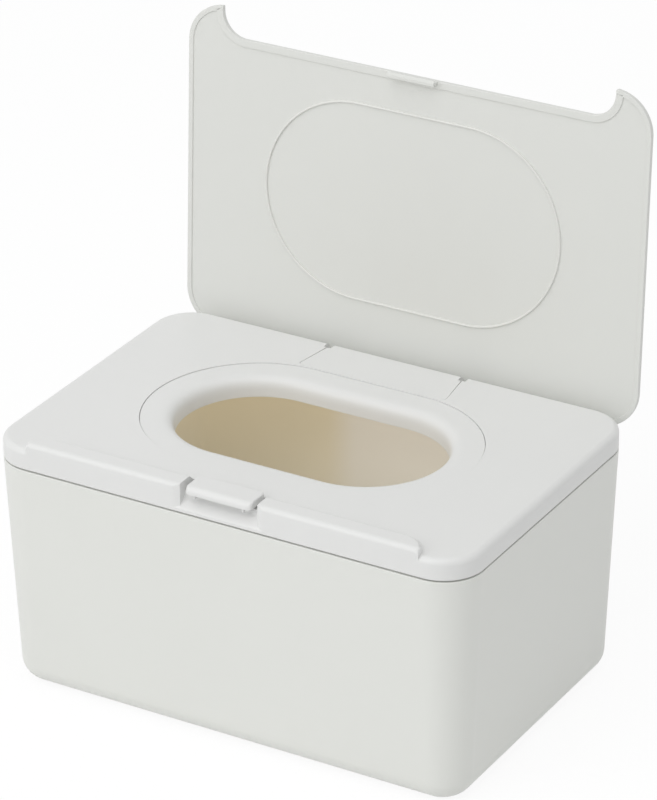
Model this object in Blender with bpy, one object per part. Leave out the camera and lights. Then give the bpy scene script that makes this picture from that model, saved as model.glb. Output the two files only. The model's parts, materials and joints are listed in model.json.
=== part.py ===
"""Wipes dispenser: a lidded box with an oval mouth, a one-push latch and a rear hinge.

Metres, +Z up. The origin is the centre of the flat underside, the latch faces -Y and the
hinge is at +Y. The lid stands open, as it does while wipes are pulled.
"""

import bmesh
import bpy
from math import cos, pi, radians, sin, sqrt
from mathutils import Matrix, Vector

# Body: the tub and the deck share this outline at their parting plane
BODY_WIDTH = 0.2000
BODY_DEPTH = 0.1331
BODY_CORNER = 0.0160

# Running and seating clearances
FIT = 0.0003  # between pieces that seat on each other
PIN_FIT = 0.00008  # running fit round a pin
OVERRUN = 0.0010  # how far a cutter passes the face that it opens
OVERLAP = 0.0006  # how deep joined shapes sink into each other

# Tub
TUB_HEIGHT = 0.0946  # underside to parting plane
TUB_DRAFT = 0.0040  # how far each side leans in by the underside
TUB_BOTTOM_RADIUS = 0.0093
TUB_WALL = 0.0024
TUB_FLOOR = 0.0026
RIM_ROUND = 0.00035  # softened edges on both sides of the parting line

# Deck
DECK_RISE = 0.0086  # parting plane to deck top
DECK_EDGE_RADIUS = 0.0025
DECK_PLATE = 0.0022
SKIRT_DEPTH = 0.0060  # the wall that locates the deck inside the tub
SKIRT_WALL = 0.0014

# Raised strip along the deck's front edge, which fills the notch in the lid
STRIP_SIDE_GAP = 0.0008  # each end, inside the lid's notch
STRIP_RISE = 0.0029
STRIP_CREST_DEPTH = 0.0070  # flat crest, back from the front face
STRIP_FOOT_DEPTH = 0.0120  # where its back slope meets the deck
STRIP_FRONT_RADIUS = 0.0020
STRIP_END_RADIUS = 0.0012
STRIP_CORNER = 0.0046  # rear corners, seen from above

# Mouth ring: an oval funnel, straight in the middle and round at its ends
RING_MARGIN = 0.0230  # deck left in front of and behind the ring
RING_SIDE_MARGIN = 0.0328  # deck left at each side of the ring
RING_BAND = 0.0060  # flat band that the lid's seal lands on
RING_ROLL = 0.0069  # radius of the roll down into the mouth
RING_SINK = 0.0003  # how far the band lies under the deck top
RING_WALL = 0.0016
RING_LIP = 0.0010  # straight lip under the roll
RING_LEDGE = 0.0025  # width of the deck's ledge that carries the ring
LEDGE_THICKNESS = 0.0014

# Lid
LID_SIDE_INSET = 0.00135  # each side, inside the body
LID_OVERHANG = 0.0003  # front and rear, past the body
LID_CORNER = 0.0160
LID_THICKNESS = 0.0023
LID_EDGE_RADIUS = 0.0008
LID_RIM = 0.0020  # raised rim round the lid's inner face
LID_PANEL_SINK = 0.0005  # how far the inner panel lies behind the rim
LID_HORN = 0.01705  # width of the lid left at each side of its notch
LID_NOTCH_DEPTH = 0.0117
LID_NOTCH_RADIUS = 0.0060

# Hinge, at the deck's rear edge
LID_OPEN_ANGLE = radians(93.1)
HINGE_BACK = 0.0022  # pin axis, in from the rear face
HINGE_RISE = 0.0021  # pin axis, above the parting plane
PIN_RADIUS = 0.0009
LUG_CENTRE = 0.0295
LUG_WIDTH = 0.0022
LUG_RADIUS = 0.0017
SLOT_SIDE_GAP = 0.0003
SLOT_LENGTH = 0.0046  # slot for a lug, in from the rear face

# Hinge cover
COVER_SPACE = 0.00085  # deck left between the ring and the cover
COVER_FRONT_HALF = 0.0322
COVER_REAR_HALF = 0.0295
COVER_CORNER = 0.0012
COVER_THICKNESS = 0.0022
COVER_LEDGE = 0.0016  # the deck's plate under the cover
COVER_SKIN = 0.0005  # rear wall behind the pin
SPRING_BAY_HALF = 0.0070  # room for the lid spring between the knuckles

# Lid spring: a torsion spring on the pin
SPRING_WIRE_RADIUS = 0.0002
SPRING_CLEARANCE = 0.00012
SPRING_TURNS = 12
SPRING_PITCH = 0.00085
SPRING_LEG = 0.0021
SPRING_HOLE_RADIUS = 0.00035  # hole through the pin for the spring's inner leg

# Lid seal: a soft bead in the lid's inner face
SEAL_INSET = 0.00385  # inside the ring's edge
SEAL_WIDTH = 0.0009
SEAL_STAND = 0.0003  # how far the bead stands past the lid's rim
SEAL_GROOVE_DEPTH = 0.0006

# Lid catch: a tongue with a barb at the middle of the notch
CATCH_HALF = 0.0100
CATCH_THICKNESS = 0.0012
CATCH_LENGTH = 0.0034
BARB_REACH = 0.0009
BARB_HEIGHT = 0.0010

# Latch bay in the deck
BAY_HALF = 0.0162
BAY_FRONT_ROUND = 0.0018
BAY_DEPTH = 0.0115  # back from the front face to behind the button
SLOT_HALF = 0.0108  # room for the lid's tongue
SLOT_DEPTH = 0.0018
THUMB_DEPTH = 0.0045
THUMB_FLOOR = 0.0023  # above the parting plane
THUMB_WALL = 0.0012
THUMB_WALL_TOP = 0.0071  # above the parting plane
BAY_FLOOR = 0.0007  # above the parting plane
BAY_WALL = 0.0013

# Latch button
BUTTON_HALF = 0.0128
BUTTON_RISE = 0.0028  # above the deck top
BUTTON_REAR_GAP = 0.0005
BUTTON_HEIGHT = 0.0030  # front lip, top to bottom
BUTTON_WALL = 0.0011
BUTTON_CORNER = 0.0016
BUTTON_EDGE = 0.0005
BUTTON_PIVOT_BACK = 0.0090  # pivot, back from the front face
BUTTON_PIVOT_RISE = 0.0026  # pivot, above the parting plane
PEG_RADIUS = 0.0010
PEG_REACH = 0.0008  # how far a peg enters the bay's wall
PEG_ROOT = 0.0020  # how far a peg runs along the leg that carries it
BUTTON_LEG = 0.0013
NOSE_HALF = 0.0095
NOSE_HEIGHT = 0.0012
PRONG_CENTRE = 0.0102
PRONG_WIDTH = 0.0008
PRONG_DROP = 0.0017  # below the button's lip

# Button spring
BUTTON_SPRING_RADIUS = 0.0010
BUTTON_SPRING_WIRE = 0.0002
BUTTON_SPRING_TURNS = 7
BUTTON_SPRING_BACK = 0.0074  # from the front face

# How finely curves are divided
CORNER_STEPS = 10
OVAL_STEPS = 26
FILLET_STEPS = 5
ROUND_STEPS = 24
COIL_STEPS = 12

# Heights and places that follow from the sizes above
PARTING = TUB_HEIGHT
DECK_TOP = PARTING + DECK_RISE
FRONT = -BODY_DEPTH / 2
REAR = BODY_DEPTH / 2
TUB_TOP = PARTING - FIT / 2
DECK_BOTTOM = PARTING + FIT / 2
HINGE_AXIS = Vector((0, REAR - HINGE_BACK, PARTING + HINGE_RISE))
BUTTON_AXIS = Vector((0, FRONT + BUTTON_PIVOT_BACK, PARTING + BUTTON_PIVOT_RISE))
RING_RADIUS = BODY_DEPTH / 2 - RING_MARGIN
MOUTH_STRAIGHT_HALF = BODY_WIDTH / 2 - RING_SIDE_MARGIN - RING_RADIUS
SEAL_RADIUS = RING_RADIUS - SEAL_INSET
COVER_FRONT = RING_RADIUS + COVER_SPACE
LID_WIDTH = BODY_WIDTH - 2 * LID_SIDE_INSET
LID_DEPTH = BODY_DEPTH + 2 * LID_OVERHANG
LID_NOTCH_HALF = LID_WIDTH / 2 - LID_HORN
STRIP_HALF = LID_NOTCH_HALF - STRIP_SIDE_GAP
LID_FACE = DECK_TOP + FIT
LID_OUTER = LID_FACE + LID_THICKNESS
NOTCH_EDGE = -LID_DEPTH / 2 + LID_NOTCH_DEPTH
SLOT_FRONT = REAR - SLOT_LENGTH

WHITE = (0.80, 0.80, 0.775, 1)
SOFT_WHITE = (0.76, 0.76, 0.73, 1)
STEEL = (0.55, 0.55, 0.56, 1)


def clear_scene():
    for thing in list(bpy.data.objects):
        bpy.data.objects.remove(thing, do_unlink=True)


def make_collection(name):
    collection = bpy.data.collections.new(name)
    bpy.context.scene.collection.children.link(collection)
    return collection


def make_material(name, colour, roughness, metallic=0.0):
    material = bpy.data.materials.new(name)
    material.use_nodes = True
    shader = material.node_tree.nodes["Principled BSDF"]
    shader.inputs["Base Color"].default_value = colour
    shader.inputs["Roughness"].default_value = roughness
    shader.inputs["Metallic"].default_value = metallic
    return material


clear_scene()
PARTS = make_collection("wipes_dispenser")
CUTTERS = make_collection("cutters")


def arc(centre_a, centre_b, radius, start, end, steps):
    """Points on an arc, from one angle to the other, both ends included."""
    angles = [start + (end - start) * i / steps for i in range(steps + 1)]
    return [(centre_a + radius * cos(a), centre_b + radius * sin(a)) for a in angles]


def rounded_rectangle(half_x, half_y, radius):
    """The outline of a rectangle with round corners, counter-clockwise."""
    points = []
    corners = ((1, -1, -pi / 2), (1, 1, 0), (-1, 1, pi / 2), (-1, -1, pi))
    for side_x, side_y, start in corners:
        centre_x = side_x * (half_x - radius)
        centre_y = side_y * (half_y - radius)
        points += arc(centre_x, centre_y, radius, start, start + pi / 2, CORNER_STEPS)
    return points


def oval(radius):
    """The mouth's outline at this radius: two half circles joined by straight runs."""
    right = arc(MOUTH_STRAIGHT_HALF, 0, radius, -pi / 2, pi / 2, OVAL_STEPS)
    left = arc(-MOUTH_STRAIGHT_HALF, 0, radius, pi / 2, 3 * pi / 2, OVAL_STEPS)
    return right + left


def at_height(outline, z):
    return [Vector((x, y, z)) for x, y in outline]


def finish(mesh_bmesh, name, collection):
    """Turns a bmesh into an object with its faces pointing out."""
    bmesh.ops.recalc_face_normals(mesh_bmesh, faces=mesh_bmesh.faces)
    mesh = bpy.data.meshes.new(name)
    mesh_bmesh.to_mesh(mesh)
    mesh_bmesh.free()
    made = bpy.data.objects.new(name, mesh)
    collection.objects.link(made)
    return made


def loft(name, rings, collection, closed=False):
    """A skin through rings of equal point counts. Open lofts are capped at both ends."""
    mesh = bmesh.new()
    loops = [[mesh.verts.new(point) for point in ring] for ring in rings]
    pairs = list(zip(loops, loops[1:]))
    if closed:
        pairs.append((loops[-1], loops[0]))
    for lower, upper in pairs:
        count = len(lower)
        for i in range(count):
            j = (i + 1) % count
            mesh.faces.new((lower[i], lower[j], upper[j], upper[i]))
    if not closed:
        mesh.faces.new(loops[0][::-1])
        mesh.faces.new(loops[-1])
    return finish(mesh, name, collection)


def prism(name, outline, low, high, collection, along="Z"):
    """A flat outline pushed from low to high along Z, or along X for a (y, z) outline."""
    mesh = bmesh.new()
    if along == "Z":
        base = [mesh.verts.new((a, b, low)) for a, b in outline]
        push = Vector((0, 0, high - low))
    else:
        base = [mesh.verts.new((low, a, b)) for a, b in outline]
        push = Vector((high - low, 0, 0))
    face = mesh.faces.new(base)
    pushed = bmesh.ops.extrude_face_region(mesh, geom=[face])
    moved = [g for g in pushed["geom"] if isinstance(g, bmesh.types.BMVert)]
    bmesh.ops.translate(mesh, verts=moved, vec=push)
    return finish(mesh, name, collection)


def block(name, low, high, collection):
    """A box between two corners."""
    mesh = bmesh.new()
    bmesh.ops.create_cube(mesh, size=1)
    low, high = Vector(low), Vector(high)
    bmesh.ops.scale(mesh, vec=high - low, verts=mesh.verts)
    bmesh.ops.translate(mesh, vec=(low + high) / 2, verts=mesh.verts)
    return finish(mesh, name, collection)


def rod(name, radius, low, high, place, collection, along="X"):
    """A round bar through a place, from low to high along X or Z."""
    mesh = bmesh.new()
    bmesh.ops.create_cone(
        mesh,
        cap_ends=True,
        segments=ROUND_STEPS,
        radius1=radius,
        radius2=radius,
        depth=high - low,
    )
    bmesh.ops.translate(mesh, verts=mesh.verts, vec=(0, 0, (low + high) / 2))
    if along == "X":
        bmesh.ops.rotate(mesh, verts=mesh.verts, matrix=Matrix.Rotation(pi / 2, 3, "Y"))
    bmesh.ops.translate(mesh, verts=mesh.verts, vec=place)
    return finish(mesh, name, collection)


def as_helper(tool):
    tool.hide_render = True
    tool.display_type = "WIRE"


def boolean(target, tool, operation):
    modifier = target.modifiers.new(tool.name, "BOOLEAN")
    modifier.operation = operation
    modifier.solver = "EXACT"
    modifier.object = tool
    as_helper(tool)


def cut(target, tool):
    boolean(target, tool, "DIFFERENCE")


def join(target, tool):
    boolean(target, tool, "UNION")


def colour(part, material):
    part.data.materials.clear()
    part.data.materials.append(material)
    part.data.shade_smooth()
    part.data.set_sharp_from_angle(angle=radians(35))


def mirrored(x):
    return (-x, x)


def rounded_edge(half_x, half_y, corner, top, radius):
    """Rings over a rounded top edge, ending on the flat top."""
    rings = []
    for i in range(FILLET_STEPS + 1):
        turn = pi / 2 * i / FILLET_STEPS
        inset = radius * (1 - cos(turn))
        z = top - radius * (1 - sin(turn))
        outline = rounded_rectangle(half_x - inset, half_y - inset, corner - inset)
        rings.append(at_height(outline, z))
    return rings


def tub_inset(z):
    """How far the tub's drafted side stands inside the parting outline at this height."""
    return TUB_DRAFT * (1 - z / PARTING)


def tub_outline(inset):
    return rounded_rectangle(
        BODY_WIDTH / 2 - inset, BODY_DEPTH / 2 - inset, BODY_CORNER - inset
    )


def bottom_rounding(floor, radius, wall):
    """Rings that roll from a floor up into the drafted side."""
    rings = []
    for i in range(FILLET_STEPS + 3):
        turn = pi / 2 * i / (FILLET_STEPS + 2)
        z = floor + radius * (1 - cos(turn))
        inset = tub_inset(floor + radius) + wall + radius * (1 - sin(turn))
        rings.append(at_height(tub_outline(inset), z))
    return rings


def build_tub(material):
    outside = bottom_rounding(0, TUB_BOTTOM_RADIUS, 0)
    inside = bottom_rounding(TUB_FLOOR, TUB_BOTTOM_RADIUS - TUB_WALL, TUB_WALL)
    rim = [
        at_height(tub_outline(0), TUB_TOP - RIM_ROUND),
        at_height(tub_outline(RIM_ROUND), TUB_TOP),
        at_height(tub_outline(TUB_WALL - RIM_ROUND), TUB_TOP),
        at_height(tub_outline(TUB_WALL), TUB_TOP - RIM_ROUND),
    ]
    tub = loft("tub", outside + rim + inside[::-1], PARTS)
    colour(tub, material)
    return tub


def deck_shell():
    """The deck's plate, rim and locating skirt as one skin from ceiling to top."""
    skirt_outer = TUB_WALL + FIT + tub_inset(PARTING - SKIRT_DEPTH)
    skirt_inner = skirt_outer + SKIRT_WALL
    ceiling = DECK_TOP - DECK_PLATE
    skirt_foot = PARTING - SKIRT_DEPTH
    rings = [
        at_height(tub_outline(skirt_inner), ceiling),
        at_height(tub_outline(skirt_inner), skirt_foot),
        at_height(tub_outline(skirt_outer), skirt_foot),
        at_height(tub_outline(TUB_WALL + FIT), DECK_BOTTOM),
        at_height(tub_outline(RIM_ROUND), DECK_BOTTOM),
        at_height(tub_outline(0), DECK_BOTTOM + RIM_ROUND),
    ]
    half_x, half_y = BODY_WIDTH / 2, BODY_DEPTH / 2
    rings += rounded_edge(half_x, half_y, BODY_CORNER, DECK_TOP, DECK_EDGE_RADIUS)
    return loft("deck", rings, PARTS)


def strip_profile(rise, forward):
    """Side view of the strip: round front edge, flat crest, smooth back slope.

    The crest and the slope come forward where the strip's rear corner is rounded.
    """
    root = DECK_TOP - DECK_EDGE_RADIUS - OVERLAP
    top = DECK_TOP + rise
    radius = STRIP_FRONT_RADIUS
    points = [(FRONT, root)]
    points += arc(FRONT + radius, top - radius, radius, pi, pi / 2, FILLET_STEPS)
    crest = FRONT + STRIP_CREST_DEPTH - forward
    slope = STRIP_FOOT_DEPTH - STRIP_CREST_DEPTH
    steps = 2 * FILLET_STEPS
    for i in range(steps + 1):
        share = i / steps
        fall = share * share * (3 - 2 * share)
        points.append((crest + slope * share, top - rise * fall))
    points.append((crest + slope, root))
    return points


def build_strip():
    """The strip, its rear corners rounded in plan and the edges of its ends rounded over."""
    ends = []
    for i in range(CORNER_STEPS + 1):
        turn = pi / 2 * i / CORNER_STEPS
        x = STRIP_HALF - STRIP_CORNER * (1 - sin(turn))
        into_end = min(STRIP_END_RADIUS, max(0.0, x - STRIP_HALF + STRIP_END_RADIUS))
        fall = STRIP_END_RADIUS - sqrt(STRIP_END_RADIUS**2 - into_end**2)
        ends.append((x, STRIP_RISE - fall, STRIP_CORNER * (1 - cos(turn))))
    stations = [(-x, rise, forward) for x, rise, forward in ends[::-1]] + ends
    rings = []
    for x, rise, forward in stations:
        rings.append([Vector((x, y, z)) for y, z in strip_profile(rise, forward)])
    return loft("front_strip", rings, CUTTERS)


def bay_outline():
    """Plan of the latch bay, flared by round corners at the front face."""
    out = FRONT - OVERRUN
    centre = BAY_HALF + BAY_FRONT_ROUND
    round_y = FRONT + BAY_FRONT_ROUND
    right = arc(centre, round_y, BAY_FRONT_ROUND, -pi / 2, -pi, FILLET_STEPS)
    left = [(-x, y) for x, y in right[::-1]]
    back = FRONT + BAY_DEPTH
    return [(centre, out)] + right + [(BAY_HALF, back), (-BAY_HALF, back)] + left + [(-centre, out)]


def cover_outline(grow, past=0.0):
    """Plan of the hinge cover, or of its seat when grown by a clearance and run past its end."""
    front = COVER_FRONT + FIT - grow
    flare = (COVER_FRONT_HALF - COVER_REAR_HALF) / (SLOT_FRONT - COVER_FRONT)
    half_front = COVER_FRONT_HALF - FIT + grow
    half_slot = COVER_REAR_HALF - FIT + grow
    radius = COVER_CORNER
    corner = [(half_front - radius, front), (half_front - radius * flare, front + radius)]
    right = corner + [(half_slot, SLOT_FRONT + past)]
    return right + [(-x, y) for x, y in right[::-1]]


def build_deck(material):
    deck = deck_shell()
    over = DECK_TOP + STRIP_RISE + OVERRUN
    slot_back = FRONT + BAY_DEPTH + SLOT_DEPTH
    hinge_wall = SLOT_FRONT - COVER_LEDGE
    slot_half = LUG_WIDTH / 2 + SLOT_SIDE_GAP
    slot_outer = LUG_CENTRE + slot_half
    ledge_top = DECK_TOP - COVER_THICKNESS - FIT
    ledge_low = ledge_top - COVER_LEDGE
    skirt_face = REAR - TUB_WALL - FIT - tub_inset(PARTING - SKIRT_DEPTH) - SKIRT_WALL

    join(deck, build_strip())
    join(
        deck,
        block(
            "latch_bay_housing",
            (-BAY_HALF - BAY_WALL, FRONT + TUB_WALL, PARTING + BAY_FLOOR - BAY_WALL),
            (BAY_HALF + BAY_WALL, slot_back + BAY_WALL, DECK_TOP - DECK_PLATE / 2),
            CUTTERS,
        ),
    )
    join(
        deck,
        block(
            "hinge_ledge",
            (-COVER_FRONT_HALF - COVER_LEDGE, COVER_FRONT, ledge_low),
            (COVER_FRONT_HALF + COVER_LEDGE, skirt_face + OVERLAP, ledge_top + OVERLAP),
            CUTTERS,
        ),
    )
    join(
        deck,
        block(
            "hinge_wall",
            (-slot_outer - COVER_LEDGE, hinge_wall, PARTING - SKIRT_DEPTH / 2),
            (slot_outer + COVER_LEDGE, skirt_face + OVERLAP, ledge_low + OVERLAP),
            CUTTERS,
        ),
    )

    seat = DECK_TOP - RING_SINK - RING_WALL - FIT
    mouth = RING_RADIUS + FIT
    boss_low = seat - LEDGE_THICKNESS
    boss_top = DECK_TOP - DECK_PLATE / 2
    join(deck, prism("ring_boss", oval(mouth + LEDGE_THICKNESS), boss_low, boss_top, CUTTERS))
    cut(deck, prism("ring_seat_cut", oval(mouth), seat, over, CUTTERS))
    cut(deck, prism("mouth_cut", oval(mouth - RING_LEDGE), PARTING, over, CUTTERS))

    cut(deck, prism("cover_seat_cut", cover_outline(FIT, OVERRUN), ledge_top, over, CUTTERS))
    cut(
        deck,
        block(
            "hinge_trough_cut",
            (-slot_outer, SLOT_FRONT, DECK_BOTTOM - OVERRUN),
            (slot_outer, REAR + OVERRUN, over),
            CUTTERS,
        ),
    )
    cut_latch_bay(deck, slot_back, over)
    colour(deck, material)
    return deck


def cut_latch_bay(deck, slot_back, over):
    thumb_floor = PARTING + THUMB_FLOOR
    wall_front = FRONT + THUMB_DEPTH
    wall_back = wall_front + THUMB_WALL
    bay_floor = PARTING + BAY_FLOOR
    wall_top = PARTING + THUMB_WALL_TOP
    back = FRONT + BAY_DEPTH
    cut(deck, prism("thumb_recess_cut", bay_outline(), wall_top, over, CUTTERS))
    front_outline = [p for p in bay_outline() if p[1] < wall_front]
    half = len(front_outline) // 2
    front_outline[half:half] = [(BAY_HALF, wall_front), (-BAY_HALF, wall_front)]
    cut(deck, prism("thumb_floor_cut", front_outline, thumb_floor, over, CUTTERS))
    cut(
        deck,
        block(
            "mechanism_cut",
            (-BAY_HALF, wall_back, bay_floor),
            (BAY_HALF, back, over),
            CUTTERS,
        ),
    )
    cut(
        deck,
        block(
            "tongue_slot_cut",
            (-SLOT_HALF, back - OVERLAP, bay_floor),
            (SLOT_HALF, slot_back, over),
            CUTTERS,
        ),
    )
    peg_end = BAY_HALF + PEG_REACH + FIT
    bore = PEG_RADIUS + PIN_FIT
    cut(deck, rod("peg_bore_cut", bore, -peg_end, peg_end, BUTTON_AXIS, CUTTERS))


def build_mouth_ring(material):
    top = DECK_TOP - RING_SINK
    roll_centre = RING_RADIUS - RING_BAND
    roll_floor = top - RING_ROLL
    throat = roll_centre - RING_ROLL
    section = [(RING_RADIUS, top - RING_WALL), (RING_RADIUS, top)]
    section += arc(roll_centre, roll_floor, RING_ROLL, pi / 2, pi, 2 * FILLET_STEPS)
    section += [(throat, roll_floor - RING_LIP), (throat + RING_WALL, roll_floor - RING_LIP)]
    section += arc(roll_centre, roll_floor, RING_ROLL - RING_WALL, pi, pi / 2, 2 * FILLET_STEPS)
    rings = [at_height(oval(radius), z) for radius, z in section]
    ring = loft("mouth_ring", rings, PARTS, closed=True)
    colour(ring, material)
    return ring


def build_hinge_cover(material):
    """A plate flush with the deck, with the pin's knuckles under its rear edge."""
    plate_low = DECK_TOP - COVER_THICKNESS
    cover = prism("hinge_cover", cover_outline(0), plate_low, DECK_TOP, PARTS)
    block_half = LUG_CENTRE - LUG_WIDTH / 2 - 2 * FIT
    block_low = DECK_BOTTOM
    radius = DECK_EDGE_RADIUS
    profile = [(SLOT_FRONT + FIT, block_low), (REAR, block_low)]
    profile += arc(REAR - radius, DECK_TOP - radius, radius, 0, pi / 2, FILLET_STEPS)
    profile += [(SLOT_FRONT - OVERLAP, DECK_TOP), (SLOT_FRONT - OVERLAP, plate_low)]
    profile += [(SLOT_FRONT + FIT, plate_low)]
    join(cover, prism("cover_rear", profile, -block_half, block_half, CUTTERS, along="X"))
    bore = PIN_RADIUS + PIN_FIT
    reach = block_half + OVERRUN
    cut(cover, rod("cover_bore_cut", bore, -reach, reach, HINGE_AXIS, CUTTERS))
    cut(
        cover,
        block(
            "cover_snap_cut",
            (-reach, HINGE_AXIS.y - PIN_RADIUS, block_low - OVERRUN),
            (reach, HINGE_AXIS.y + PIN_RADIUS, HINGE_AXIS.z),
            CUTTERS,
        ),
    )
    cut(
        cover,
        block(
            "spring_bay_cut",
            (-SPRING_BAY_HALF, SLOT_FRONT - OVERRUN, block_low - OVERRUN),
            (SPRING_BAY_HALF, REAR - COVER_SKIN, plate_low - FIT),
            CUTTERS,
        ),
    )
    colour(cover, material)
    return cover


def build_hinge_pin(material):
    """The axle, with a cross hole for the spring's inner leg."""
    half = LUG_CENTRE + LUG_WIDTH / 2
    pin = rod("hinge_pin", PIN_RADIUS, -half, half, (0, 0, 0), PARTS)
    pin.location = HINGE_AXIS
    hole_x = SPRING_TURNS * SPRING_PITCH / 2
    reach = PIN_RADIUS + OVERRUN
    place = HINGE_AXIS + Vector((hole_x, 0, 0))
    cut(pin, rod("pin_cross_hole", SPRING_HOLE_RADIUS, -reach, reach, place, CUTTERS, along="Z"))
    colour(pin, material)
    return pin


def coil(name, points, wire, collection):
    """A wire of round section through these points, as a closed mesh."""
    path = bpy.data.curves.new(name, "CURVE")
    path.dimensions = "3D"
    path.bevel_depth = wire
    path.bevel_resolution = 1
    path.use_fill_caps = True
    spline = path.splines.new("POLY")
    spline.points.add(len(points) - 1)
    for point, place in zip(spline.points, points):
        point.co = (*place, 1)
    guide = bpy.data.objects.new(name + "_path", path)
    collection.objects.link(guide)
    graph = bpy.context.evaluated_depsgraph_get()
    mesh = bpy.data.meshes.new_from_object(guide.evaluated_get(graph))
    bpy.data.objects.remove(guide, do_unlink=True)
    welded = bmesh.new()
    welded.from_mesh(mesh)
    bmesh.ops.remove_doubles(welded, verts=welded.verts, dist=wire / COIL_STEPS)
    bpy.data.meshes.remove(mesh)
    return finish(welded, name, collection)


def build_lid_spring(material):
    """A torsion spring round the pin: one leg lies on the deck, one goes through the pin."""
    radius = PIN_RADIUS + SPRING_CLEARANCE + SPRING_WIRE_RADIUS
    count = SPRING_TURNS * COIL_STEPS
    start = -SPRING_TURNS * SPRING_PITCH / 2
    points = []
    for i in range(count + 1):
        turn = 2 * pi * i / COIL_STEPS - pi / 2
        x = start + SPRING_PITCH * i / COIL_STEPS
        points.append((x, radius * cos(turn), radius * sin(turn)))
    first, last = points[0], points[-1]
    points.insert(0, (first[0], first[1] - SPRING_LEG, first[2]))
    points.append((last[0], 0, PIN_RADIUS))
    spring = coil("lid_spring", points, SPRING_WIRE_RADIUS, PARTS)
    spring.location = HINGE_AXIS
    colour(spring, material)
    return spring


def lid_outline(inset):
    """The lid's outline in plan, closed, without its notch."""
    return rounded_rectangle(LID_WIDTH / 2 - inset, LID_DEPTH / 2 - inset, LID_CORNER - inset)


def notch_outline(grow):
    """The notch in the lid's front edge, with round inner corners."""
    half = LID_NOTCH_HALF + grow
    edge = NOTCH_EDGE + grow
    radius = LID_NOTCH_RADIUS + grow
    out = -LID_DEPTH / 2 - OVERRUN
    right = [(half, out)] + arc(half - radius, edge - radius, radius, 0, pi / 2, CORNER_STEPS)
    return right + [(-x, y) for x, y in right[::-1]]


def hinge_local(points):
    """Plan points moved so that the hinge's axis is the origin."""
    return [(x, y - HINGE_AXIS.y) for x, y in points]


def build_lid(material, hinge):
    """The lid is shaped closed, about the hinge's axis, and the hinge's empty opens it."""
    face = LID_FACE - HINGE_AXIS.z
    outer = LID_OUTER - HINGE_AXIS.z
    rings = [at_height(hinge_local(lid_outline(0)), face)]
    for i in range(FILLET_STEPS):
        turn = pi / 2 * i / (FILLET_STEPS - 1)
        inset = LID_EDGE_RADIUS * (1 - cos(turn))
        z = outer - LID_EDGE_RADIUS * (1 - sin(turn))
        rings.append(at_height(hinge_local(lid_outline(inset)), z))
    lid = loft("lid", rings, PARTS)
    below, above = face - OVERRUN, outer + OVERRUN
    panel_face = face + LID_PANEL_SINK
    notch = prism("lid_notch_cut", hinge_local(notch_outline(0)), below, above, CUTTERS)
    panel = prism("lid_panel_cut", hinge_local(lid_outline(LID_RIM)), below, panel_face, CUTTERS)
    rim_plan = hinge_local(notch_outline(LID_RIM))
    rim = prism("lid_notch_rim", rim_plan, below - OVERRUN, above, CUTTERS)
    cut(panel, rim)
    cut(lid, notch)
    cut(lid, panel)
    tools = [notch, panel, rim, seal_groove(panel_face)]
    cut(lid, tools[-1])
    for side in mirrored(LUG_CENTRE):
        tools.append(build_lug(side, panel_face))
        join(lid, tools[-1])
    tools.append(build_catch(face))
    join(lid, tools[-1])
    reach = LUG_CENTRE + LUG_WIDTH
    tools.append(rod("lug_bore_cut", PIN_RADIUS + PIN_FIT, -reach, reach, (0, 0, 0), CUTTERS))
    cut(lid, tools[-1])
    for tool in tools:
        tool.parent = hinge
    lid.parent = hinge
    colour(lid, material)
    return lid


def seal_groove(panel):
    """A ring-shaped cutter for the groove that holds the seal."""
    inner = SEAL_RADIUS - SEAL_WIDTH / 2 - FIT
    outer = SEAL_RADIUS + SEAL_WIDTH / 2 + FIT
    top = panel + SEAL_GROOVE_DEPTH
    low = panel - OVERRUN
    rings = [at_height(hinge_local(oval(inner)), low), at_height(hinge_local(oval(outer)), low)]
    rings += [at_height(hinge_local(oval(outer)), top), at_height(hinge_local(oval(inner)), top)]
    return loft("seal_groove_cut", rings, CUTTERS, closed=True)


def build_lug(side, panel_face):
    """A hinge lug: a round eye at the pin and an arm up to the lid."""
    root = panel_face + OVERLAP
    profile = arc(0, 0, LUG_RADIUS, pi, 2 * pi, ROUND_STEPS // 2)
    profile += [(LUG_RADIUS, root), (-LUG_RADIUS, root)]
    half = LUG_WIDTH / 2
    return prism("lid_lug", profile, side - half, side + half, CUTTERS, along="X")


def build_catch(face):
    """The tongue at the middle of the notch, with a barb towards the button."""
    edge = NOTCH_EDGE - HINGE_AXIS.y
    tip = face - CATCH_LENGTH
    root = face + LID_PANEL_SINK + OVERLAP
    profile = [
        (edge, root),
        (edge, tip + BARB_HEIGHT),
        (edge - BARB_REACH, tip + BARB_HEIGHT),
        (edge, tip),
        (edge + CATCH_THICKNESS, tip),
        (edge + CATCH_THICKNESS, root),
    ]
    return prism("lid_catch", profile, -CATCH_HALF, CATCH_HALF, CUTTERS, along="X")


def build_lid_seal(material, hinge):
    """A soft bead with a round crest, seated in the lid's groove."""
    face = LID_FACE - HINGE_AXIS.z
    root = face + LID_PANEL_SINK + SEAL_GROOVE_DEPTH - FIT
    crest = face - SEAL_STAND
    half = SEAL_WIDTH / 2
    section = [(SEAL_RADIUS - half, root), (SEAL_RADIUS - half, crest + half)]
    section += arc(SEAL_RADIUS, crest + half, half, pi, 2 * pi, FILLET_STEPS)[1:]
    section += [(SEAL_RADIUS + half, root)]
    rings = [at_height(hinge_local(oval(radius)), z) for radius, z in section]
    seal = loft("lid_seal", rings, PARTS, closed=True)
    seal.parent = hinge
    colour(seal, material)
    return seal


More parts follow.
